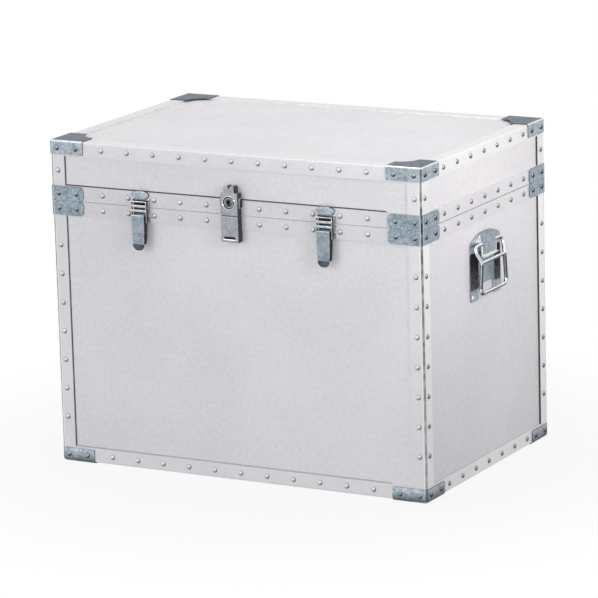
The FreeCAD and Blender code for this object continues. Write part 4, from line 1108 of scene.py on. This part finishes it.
# %% Latch bases, levers and loops
LEVER_SHEET = 1.4
LEVER_TOP, LEVER_TOP_OUT = 477, 262.6
LEVER_STEPS = (
    (474.5, 13.0, 263.5), (451, 13.0, 263.5), (432, 12.3, 263.5), (424, 11.8, 263.5),
    (419.5, 11.0, 263.2), (416, 9.2, 262.8), (413.6, 6.6, 262.3), (412.4, 3.6, 262.0),
)
CHEEK_BACK = {477: 252.5, 474.5: 252.5, 451: 252.5, 432: 253.5, 424: 254.5}
CHEEK_FOLD, SHARP_FOLD = 1.6, 60
TIP_BELOW = 423.5
CHEEK, TIP_SHADE = 1, 2
SIDEWAYS = 0.85
EAR_PLACES, EAR_HEIGHT, EAR_CORNER = (-9.3, 7.5), 5.2, 2.5
PIN_HEIGHT = 473
LOOP_ROWS = (463.2, 483.8, 492.2, 501.5)
LOOP_HALF, LOOP_BAR = 16.4, 2.3
LOOP_BACK, LOOP_DEPTH, LOOP_EASE = 254.8, 4.4, 1.0
LOOP_SIDE_SHADE = 1


def towards_viewer(bm):
    """Turn an open sheet's faces so that most of them look at the viewer."""
    outwards(bm)
    if sum(face.normal.z * face.calc_area() for face in bm.faces) < 0:
        bmesh.ops.reverse_faces(bm, faces=bm.faces[:])


def long_sides(bm):
    """The open edges up the left and the right of a sheet."""
    return [
        edge for edge in bm.edges
        if len(edge.link_faces) == 1 and edge.verts[0].co.x * edge.verts[1].co.x > 0
    ]


def lever_channel():
    """The lever: a tapering face with a curled tip and two cheeks, drawn flat; the cheeks and the tip are
    painted dark as shade.
    """
    bm = bmesh.new()
    half = LEVER_STEPS[0][1]
    edges = edge_line(bm, [bm.verts.new((x, LEVER_TOP, LEVER_TOP_OUT)) for x in (-half, half)])
    for height, half, out in LEVER_STEPS:
        fresh, edges = pulled(bm, edges)
        for vert in fresh:
            vert.co = (math.copysign(half, vert.co.x), height, out)
    sides = [
        edge for edge in long_sides(bm)
        if round(min(vert.co.y for vert in edge.verts), 1) in CHEEK_BACK
    ]
    for vert in pulled(bm, sides)[0]:
        vert.co.z = CHEEK_BACK[round(vert.co.y, 1)]
    towards_viewer(bm)
    round_folds(bm, CHEEK_FOLD, 3, SHARP_FOLD)
    thicken(bm, LEVER_SHEET)
    painted(bm, CHEEK, lambda face: abs(face.normal.x) > SIDEWAYS)
    return painted(bm, TIP_SHADE, lambda face: centre(face).y < TIP_BELOW)


def latch_base():
    """The plate on the case and the two ears that hold the lever's pin, drawn flat."""
    reach = -latch_low.y - strip_front
    upright = Matrix.Rotation(math.pi / 2, 4, "Y")
    ears = [
        placed(
            flat_plate(reach, EAR_HEIGHT, EAR_CORNER, FITTING_SHEET, (0, 0, 0)),
            Matrix.Translation((x, PIN_HEIGHT, strip_front + reach / 2)) @ upright,
        )
        for x in EAR_PLACES
    ]
    return joined(*backing_and_throat(latch_low.z, 11, latch_high.z - 6), *ears)


def loop_ladder():
    """The loop: two legs and four bars, drawn flat; its outer sides are painted dark as shade."""
    bm = bmesh.new()
    bmesh.ops.create_grid(bm, x_segments=1, y_segments=len(LOOP_ROWS) - 1, size=1)
    levels = sorted({round(vert.co.y, 4) for vert in bm.verts})
    for vert in bm.verts:
        vert.co = (vert.co.x * LOOP_HALF, LOOP_ROWS[levels.index(round(vert.co.y, 4))], LOOP_BACK)
    cells = bm.faces[:]
    bmesh.ops.inset_individual(bm, faces=cells, thickness=LOOP_BAR, use_even_offset=True)
    bmesh.ops.delete(bm, geom=cells, context="FACES")
    raised(bm, LOOP_DEPTH)
    front = max(vert.co.z for vert in bm.verts)
    rims = [
        edge for edge in bm.edges
        if edge.calc_face_angle(0) > math.radians(SHARP_FOLD)
        and all(vert.co.z > front - 0.1 for vert in edge.verts)
    ]
    bevelled(bm, rims, LOOP_EASE, 3)
    return painted(bm, LOOP_SIDE_SHADE, lambda face: abs(face.normal.x) > SQUARE_ON)


for side, x in latch_sides:
    turn = facing(FRONT, (x, 0, 0))
    piece(
        f"{side}_latch_plate", placed(latch_base(), turn), "case",
        [fitting, pale_plate, shaded_side, dark_reflection_and_shade], [f"{side}_latch_base"],
    )
    piece(
        f"{side}_lever_channel", placed(lever_channel(), turn), f"{side}_lever",
        [fitting, shaded_side, dark_edge_and_shade], [f"{side}_latch_lever"],
    )
    piece(
        f"{side}_loop_ladder", placed(loop_ladder(), turn), f"{side}_loop",
        [loop_rod, shaded_side], [f"{side}_latch_loop"],
    )

# %% [markdown]
# ## Key lock
# The lock is a tall narrow case in two halves that meet at the seam. Blocks with eased edges, two
# round knobs on the crown, a lug on each side and a turned rosette round the plug make the upper half;
# the lower half has a finger slot. From the seam a pocket for the bolt runs into each half. The sides
# that stand in shade are given the dark finish; the slot, the pocket, the keyhole and the rosette's dish
# are painted dark as shade, and the slot's lip, the rosette's ring and the eased edges on one side are
# painted as highlights.

# %% Lock helpers
LOCK_PROUD = 2.8
POCKET_WALL, POCKET_DRAFT = 0.7, 0.05
STUD_EASE, BAR_EASE = 1.6, 0.5
FLANK, LOCK_HIGHLIGHT, HOLLOW_SHADE = 1, 2, 3

receiver_low, receiver_high = corners("lock_receiver")
lock_front = LOCK_PROUD - receiver_low.y
lock_back = -receiver_high.y
lock_half = receiver_high.x


def lock_block(half, low, high, front, ease, seam=None, pocket_end=None):
    """A block with eased edges and dark sides painted as shade, and the eased edges on one side painted
    as a highlight; from the seam a pocket for the bolt runs into it, painted dark as shade.
    """
    depth = front - lock_back
    bm = block((2 * half, high - low, depth), (0, (low + high) / 2, lock_back + depth / 2))
    bevelled(bm, bm.edges[:], ease, 3)
    painted(bm, LOCK_HIGHLIGHT, lambda face: face.normal.x < -ASLANT)
    painted(bm, FLANK, lambda face: face.normal.x > ASLANT or face.normal.x < -SIDEWAYS)
    if seam is not None:
        side = 1 if seam > pocket_end else -1
        mouth = [max(bm.faces, key=lambda face: side * centre(face).y)]
        bmesh.ops.inset_region(bm, faces=mouth, thickness=POCKET_WALL, use_even_offset=True)
        walls = bmesh.ops.inset_region(bm, faces=mouth, thickness=POCKET_DRAFT, use_even_offset=True)
        for vert in mouth[0].verts:
            vert.co.y = pocket_end
        for face in mouth + walls["faces"]:
            face.material_index = HOLLOW_SHADE
    return bm


def round_bar(radius, length, sides):
    bm = bmesh.new()
    bmesh.ops.create_cone(
        bm, cap_ends=True, segments=sides, radius1=radius, radius2=radius, depth=length,
    )
    return bm


def knob(x, height, radius, front, stretch=1):
    """A short round stud, drawn flat, with its front rim rounded; stretch makes it a tall lug."""
    depth = front - lock_back
    bm = round_bar(radius, depth, 24)
    rim = [edge for edge in bm.edges if all(vert.co.z > 0 for vert in edge.verts)]
    painted(bevelled(bm, rim, STUD_EASE, 3), FLANK, lambda face: face.normal.x > 0.5)
    tall = Matrix.Diagonal((1, stretch, 1, 1))
    return placed(bm, Matrix.Translation((x, height, lock_back + depth / 2)) @ tall)


def cross_bar(half, height, out, radius):
    """A round bar across a fitting, drawn flat, with rounded ends."""
    bm = round_bar(radius, 2 * half, 14)
    rims = [edge for face in bm.faces if abs(face.normal.z) > SQUARE_ON for edge in face.edges]
    bevelled(bm, rims, BAR_EASE, 2)
    return placed(bm, Matrix.Translation((0, height, out)) @ Matrix.Rotation(math.pi / 2, 4, "Y"))


def turned(outline, place, steps=32):
    """A turned part: an outline of (radius, height) pairs spun about the axis that points outwards."""
    bm = bmesh.new()
    line = [bm.verts.new((radius, 0, height)) for radius, height in outline]
    edges = edge_line(bm, line)
    bmesh.ops.spin(
        bm, geom=line + edges, cent=(0, 0, 0), axis=(0, 0, 1), angle=2 * math.pi, steps=steps,
        use_merge=True,
    )
    bmesh.ops.remove_doubles(bm, verts=bm.verts, dist=0.001)
    return moved(outwards(bm), *place)


# %% Lock
LOCK_EASE, CROWN_EASE = 2.0, 1.4
POCKET_SPARE = 8.0
SHOULDER, CROWN_TOP = 530.5, 543.4
CROWN_HALF = 11
KNOB_RADIUS, KNOB_AT = 5.4, 5.8
LUG_RADIUS, LUG_STRETCH = 2.3, 4
ROSETTE = ((12.9, -0.6), (12.7, 1.0), (12.1, 1.6), (11.4, 1.2), (9.6, 0.2), (7.2, -1.2))
DISH_RADIUS = 11.6
KEY_FACE = ((0, 1.9), (4.8, 1.9), (6.2, 1.5), (7.0, 0.6), (7.0, -2))
KEY_EYE = ((0, 0.15), (3.7, 0.15), (3.7, 0))
KEYHOLE_SHADE = 1

plug_low, plug_high = corners("lock_plug")
bolt_low, bolt_high = corners("lock_bolt")
plug_z = (plug_low.z + plug_high.z) / 2
lock_finishes = [lock_metal, lock_flank, painted_highlight, shaded_side]

middle = Vector((0, plug_z, lock_front))
rosette = painted(turned(ROSETTE, middle), LOCK_HIGHLIGHT)
painted(rosette, HOLLOW_SHADE, lambda face: (centre(face) - middle).xy.length < DISH_RADIUS)
upper_low = corners("lock_case")[0].z - SEAM_LAP
upper = joined(
    lock_block(
        lock_half, upper_low, SHOULDER, lock_front, LOCK_EASE, upper_low, bolt_high.z + POCKET_SPARE,
    ),
    lock_block(CROWN_HALF, SHOULDER - 4, CROWN_TOP - 5, lock_front - 1, CROWN_EASE),
    *(knob(x, CROWN_TOP - KNOB_RADIUS, KNOB_RADIUS, lock_front - 0.6) for x in (-KNOB_AT, KNOB_AT)),
    *(
        knob(side * (lock_half + 0.5), plug_z - 1, LUG_RADIUS, lock_front - 3, LUG_STRETCH)
        for side in (-1, 1)
    ),
    rosette,
)
piece("lock_upper_half", placed(upper, facing(FRONT)), "lid", lock_finishes, ["lock_case"])

slot_z = receiver_low.z + 8.5
seam_z = receiver_high.z + SEAM_LAP
lower = joined(
    lock_block(
        lock_half, receiver_low.z, seam_z, lock_front, LOCK_EASE, seam_z, bolt_low.z - POCKET_SPARE,
    ),
    painted(flat_plate(23, 4.2, 1.6, 0.15, (0, slot_z, lock_front)), HOLLOW_SHADE),
    painted(cross_bar(12.5, slot_z - 3.4, lock_front, 1.2), LOCK_HIGHLIGHT),
)
piece("lock_lower_half", placed(lower, facing(FRONT)), "case", lock_finishes, ["lock_receiver"])

key_front = lock_front + KEY_FACE[0][1]
key_plug = joined(
    turned(KEY_FACE, middle, 28),
    painted(flat_plate(4, 9.5, 1.8, 0.15, (0, plug_z - 1.6, key_front)), KEYHOLE_SHADE),
    painted(turned(KEY_EYE, (0, plug_z + 1.8, key_front), 16), KEYHOLE_SHADE),
)
piece(
    "key_plug", placed(key_plug, facing(FRONT)), "lock_plug", [plug_metal, shaded_side],
    ["lock_plug"],
)

# %% [markdown]
# ## Bail handles
# The handle's plate has an arched top and a notch below: one vertex is spun along the arch, and the
# outline is closed round the notch. The strap over the bail's rod is a pressed dome with a rolled lip;
# it starts as a line of vertices across its top that is extruded down in steps. Its lip and cheeks are
# painted as highlights. Dark pads on the two wings are painted shadow of the bail and the strap.

# %% Handle plates
ARCH_CROWN = 15.0
NOTCH_HALF = 29.0
NOTCH_RISE = 27.0
PLATE_CORNER = 6
STRAP_SHEET = 1.2
STRAP_STEPS = (
    (440.4, 22, 0.2), (437.5, 26, 3.6), (432, 29, 7.0), (424, 31, 9.2), (412, 31, 10.0),
    (401.5, 31, 10.0), (399.4, 31, 10.7), (398.2, 31, 12.0), (398.6, 31, 13.4), (400, 31, 14.0),
)
STRAP_ACROSS = (-1, -0.88, -0.55, 0, 0.55, 0.88, 1)
STRAP_CROWN = 0.22
LIP_BELOW = 401
CHEEK_FROM = 28.5
SHADOW_PAD_HEIGHT, SHADOW_PAD_MIDDLE, SHADOW_PAD_CORNER, SHADOW_PAD_RISE = 66, 375, 4, 1.6
STRAP_HIGHLIGHT, SHADOW_PAD = 1, 2

plate_low, plate_high = corners("right_handle_plate")
plate_back = plate_low.x
plate_face = plate_back + FITTING_SHEET
plate_half = plate_high.y
handle_sides = (("right", RIGHT), ("left", LEFT))


def handle_sheet():
    """The plate, drawn flat, with its arched top and the notch in its lower side."""
    radius = (plate_half ** 2 + ARCH_CROWN ** 2) / (2 * ARCH_CROWN)
    bm = bmesh.new()
    start = bm.verts.new((plate_half, plate_high.z - ARCH_CROWN, plate_back))
    sweep = 2 * math.asin(plate_half / radius)
    end = arc(bm, start, (0, plate_high.z - radius, plate_back), sweep, 12)
    foot, top = plate_low.z, plate_low.z + NOTCH_RISE
    around = (
        (-plate_half, foot), (-NOTCH_HALF, foot), (-NOTCH_HALF, top),
        (NOTCH_HALF, top), (NOTCH_HALF, foot), (plate_half, foot),
    )
    line = [end, *(bm.verts.new((x, y, plate_back)) for x, y in around), start]
    edge_line(bm, line)
    bmesh.ops.contextual_create(bm, geom=bm.edges[:])
    bevelled(bm, [*line[1:-1], start, end], PLATE_CORNER, affect="VERTICES")
    return raised(bm, FITTING_SHEET)


def shape_row(row, height, half, proud):
    """Set a row of the strap's vertices to a height, a half width and a stand-off."""
    for vert, share in zip(row, STRAP_ACROSS):
        vert.co = (share * half, height, plate_face + proud * (1 - STRAP_CROWN * share ** 4))


def handle_strap():
    """The pressed strap over the bail's rod, drawn flat, with its rolled lip and its cheeks painted as
    highlights.
    """
    bm = bmesh.new()
    row = [bm.verts.new((0, 0, 0)) for share in STRAP_ACROSS]
    shape_row(row, *STRAP_STEPS[0])
    edges = edge_line(bm, row)
    for step in STRAP_STEPS[1:]:
        fresh, edges = pulled(bm, edges)
        shape_row(sorted(fresh, key=lambda vert: vert.co.x), *step)
    sides = [
        edge for edge in long_sides(bm)
        if abs(edge.verts[0].co.x) > 20 and abs(edge.verts[1].co.y - edge.verts[0].co.y) > 1.6
    ]
    for vert in pulled(bm, sides)[0]:
        vert.co.z = plate_face - 0.5
    towards_viewer(bm)
    thicken(bm, STRAP_SHEET, 0)
    # The lip and the cheeks are painted as highlights.
    painted(bm, STRAP_HIGHLIGHT, lambda face: centre(face).y < LIP_BELOW or abs(face.normal.x) > 0.7)
    return painted(bm, STRAP_HIGHLIGHT, lambda face: abs(centre(face).x) > CHEEK_FROM)


for side, turn in handle_sides:
    # Dark pads on the wings: painted shadow of the bail and the strap.
    shadow_pads = [
        painted(flat_plate(
            width, SHADOW_PAD_HEIGHT, SHADOW_PAD_CORNER, SHADOW_PAD_RISE, (x, SHADOW_PAD_MIDDLE, plate_face),
        ), SHADOW_PAD)
        for width, x in ((30, -plate_half + 16), (19, plate_half - 15))
    ]
    handle = placed(joined(handle_sheet(), handle_strap(), *shadow_pads), facing(turn))
    piece(
        f"{side}_handle_shell", handle, "case", [fitting, painted_highlight, shadow_pad_paint],
        [f"{side}_handle_plate"],
    )

# %% [markdown]
# The bail is bent from one rod, with a bar brazed across it. A ring of vertices is drawn along the
# rod's path: extruded along each straight run, and spun round the inside of each bend, as a bending
# machine does it. The path is given by its corners.

# %% Bails
BEND = 9.0
ROD_SIDES = 12
ROD_RADIUS = 3.5
UPRIGHT_SHADE = 1

bail_low, bail_high = corners("right_handle_bail")
pivot = (420.0, 378.3)
bar_at = (391.0, bail_high.x - ROD_RADIUS)
grip_z = bail_low.z + ROD_RADIUS
BAR_HALF = 46.5
half_path = [(22, *pivot), (59, *pivot), (BAR_HALF, *bar_at), (52.5, grip_z, bar_at[1])]
other_half = [(-x, y, z) for x, y, z in reversed(half_path)]


def bent_rod(path):
    """A round rod that runs along the straight lines between corners, with its bends rounded."""
    here, *turns = [Vector(place) for place in path]
    way = (turns[0] - here).normalized()
    turn = way.to_track_quat("Z", "Y").to_matrix().to_4x4()
    bm = bmesh.new()
    ring = bmesh.ops.create_circle(
        bm, segments=ROD_SIDES, radius=ROD_RADIUS, cap_ends=False, matrix=Matrix.Translation(here) @ turn,
    )["verts"]
    edges = list({edge for vert in ring for edge in vert.link_edges})
    for corner, after in zip(turns, turns[1:] + [None]):
        ahead = (after - corner).normalized() if after else way
        angle = way.angle(ahead)
        stop = BEND * math.tan(angle / 2)
        run = way * ((corner - here).length - stop)
        fresh, edges = pulled(bm, edges, run)
        here = here + run
        if after:
            inwards = (ahead - way * way.dot(ahead)).normalized()
            made = bmesh.ops.spin(
                bm, geom=fresh + edges, cent=here + inwards * BEND, axis=way.cross(ahead).normalized(),
                angle=angle, steps=5, use_merge=False, use_duplicate=False,
            )["geom_last"]
            edges = only(made, bmesh.types.BMEdge)
            here = corner + ahead * stop
            way = ahead
    bmesh.ops.holes_fill(bm, edges=[edge for edge in bm.edges if edge.is_boundary], sides=ROD_SIDES)
    return outwards(bm)


def on_upright(face):
    across, height, _ = centre(face)
    return abs(across) > 40 and grip_z + BEND < height < bar_at[0] - BEND / 2


for side, turn in handle_sides:
    # The uprights take the shaded rod finish, as painted shade.
    ring = painted(bent_rod(half_path + other_half), UPRIGHT_SHADE, on_upright)
    bar = bent_rod([(-BAR_HALF, *bar_at), (BAR_HALF, *bar_at)])
    piece(
        f"{side}_bail_rod", placed(joined(ring, bar), facing(turn)), f"{side}_bail",
        [bright_rod, shaded_rod], [f"{side}_handle_bail"],
    )

# %% [markdown]
# ## Rivets
# Nearly three hundred dome rivets hold the strips, caps and fittings. The imported model already knows
# where each one is, so a merged copy of its rivet mesh is read island by island: the head's place,
# its width and the side it faces. A small dome is spun for each head and turned to its place.
# A rivet on a cap is plated like the cap, a rivet on a handle is painted as a highlight, and every
# head has its wall painted darker and a thin ring of painted shade round its foot.

# %% Where the rivets are
RIVET_RISE, SMALL_RISE = 2.6, 1.6
SMALL_BELOW = 7.0
MIDDLE = (0, 0, 300)


def islands(node):
    """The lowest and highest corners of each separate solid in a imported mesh, in millimetres."""
    bm = bmesh.new()
    bm.from_mesh(nodes[node].data)
    bmesh.ops.remove_doubles(bm, verts=bm.verts, dist=1e-6)
    waiting = set(bm.verts)
    found = []
    for seed in bm.verts:
        if seed not in waiting:
            continue
        waiting.discard(seed)
        reached = [seed]
        for vert in reached:
            for edge in vert.link_edges:
                other = edge.other_vert(vert)
                if other in waiting:
                    waiting.discard(other)
                    reached.append(other)
        found.append([
            Vector([end(vert.co[i] for vert in reached) for i in range(3)]) / MM for end in (min, max)
        ])
    bm.free()
    return found


def rivet_place(low, high):
    """The matrix that turns a dome to a head's place, its foot, its width and its rise."""
    size = high - low
    spread = [abs(size[(i + 1) % 3] - size[(i + 2) % 3]) for i in range(3)]
    along = spread.index(min(spread))
    width = size[(along + 1) % 3]
    rise = SMALL_RISE if width < SMALL_BELOW else RIVET_RISE
    foot = (low + high) / 2
    outward = 1 if foot[along] > MIDDLE[along] else -1
    foot[along] = (high if outward > 0 else low)[along] - outward * rise
    way = Vector([outward if i == along else 0 for i in range(3)])
    turn = way.to_track_quat("Z", "Y").to_matrix().to_4x4()
    return Matrix.Translation(foot) @ turn, foot, width, rise


# %% Rivets
DOME = ((1.1, -0.1), (1.0, 0.12), (0.9, 0.55), (0.55, 0.9), (0, 1))
WALL_FROM = 0.86
HANDLE_HEAD = 1.35
CORNER_X, CORNER_Y = 300, 175
FEET_BELOW, TOP_ABOVE = 27, 573
MOUTH_LOW, MOUTH_HIGH = 462, 516
ON_CAP, FOOT_RING_SHADE, WALL_SHADE, HANDLE_HIGHLIGHT = 1, 2, 3, 4


def rivet_dome(width, rise):
    """A dome, drawn flat, with its wall painted darker and a dark foot ring, both as painted shade."""
    radius = width / 2
    bm = turned([(radius * across, rise * up) for across, up in DOME], (0, 0, 0), 12)
    painted(bm, WALL_SHADE, lambda face: centre(face).xy.length > WALL_FROM * radius)
    return painted(bm, FOOT_RING_SHADE, lambda face: centre(face).xy.length > radius)


def on_cap(foot):
    at_corner = abs(foot.x) > CORNER_X and abs(foot.y) > CORNER_Y
    return at_corner and (
        foot.z < FEET_BELOW or foot.z > TOP_ABOVE or MOUTH_LOW < foot.z < MOUTH_HIGH
    )


def on_handle(foot):
    on_side = abs(foot.y) < plate_half and abs(foot.x) > skin_x
    return on_side and case_rim_low > foot.z > plate_low.z


def rivet_set(node):
    """All the heads of a packed rivet mesh."""
    domes = []
    for low, high in islands(node):
        matrix, foot, width, rise = rivet_place(low, high)
        grown = HANDLE_HEAD if on_handle(foot) else 1
        dome = placed(rivet_dome(width * grown, rise), matrix)
        # A rivet on a cap takes the cap's plating; one on a handle is painted as a highlight.
        if on_cap(foot) or on_handle(foot):
            tone = HANDLE_HIGHLIGHT if on_handle(foot) else ON_CAP
            painted(dome, tone, lambda face: face.material_index != FOOT_RING_SHADE)
        domes.append(dome)
    print(f"{node}: {len(domes)} heads")
    return joined(*domes)


rivet_finishes = [rivet_metal, cap_rivet, rivet_foot_shade, rivet_wall_shade, painted_highlight]
for body in ("case", "lid"):
    node = f"{body}_rivets"
    piece(f"{body}_rivet_heads", rivet_set(node), body, rivet_finishes, [node])
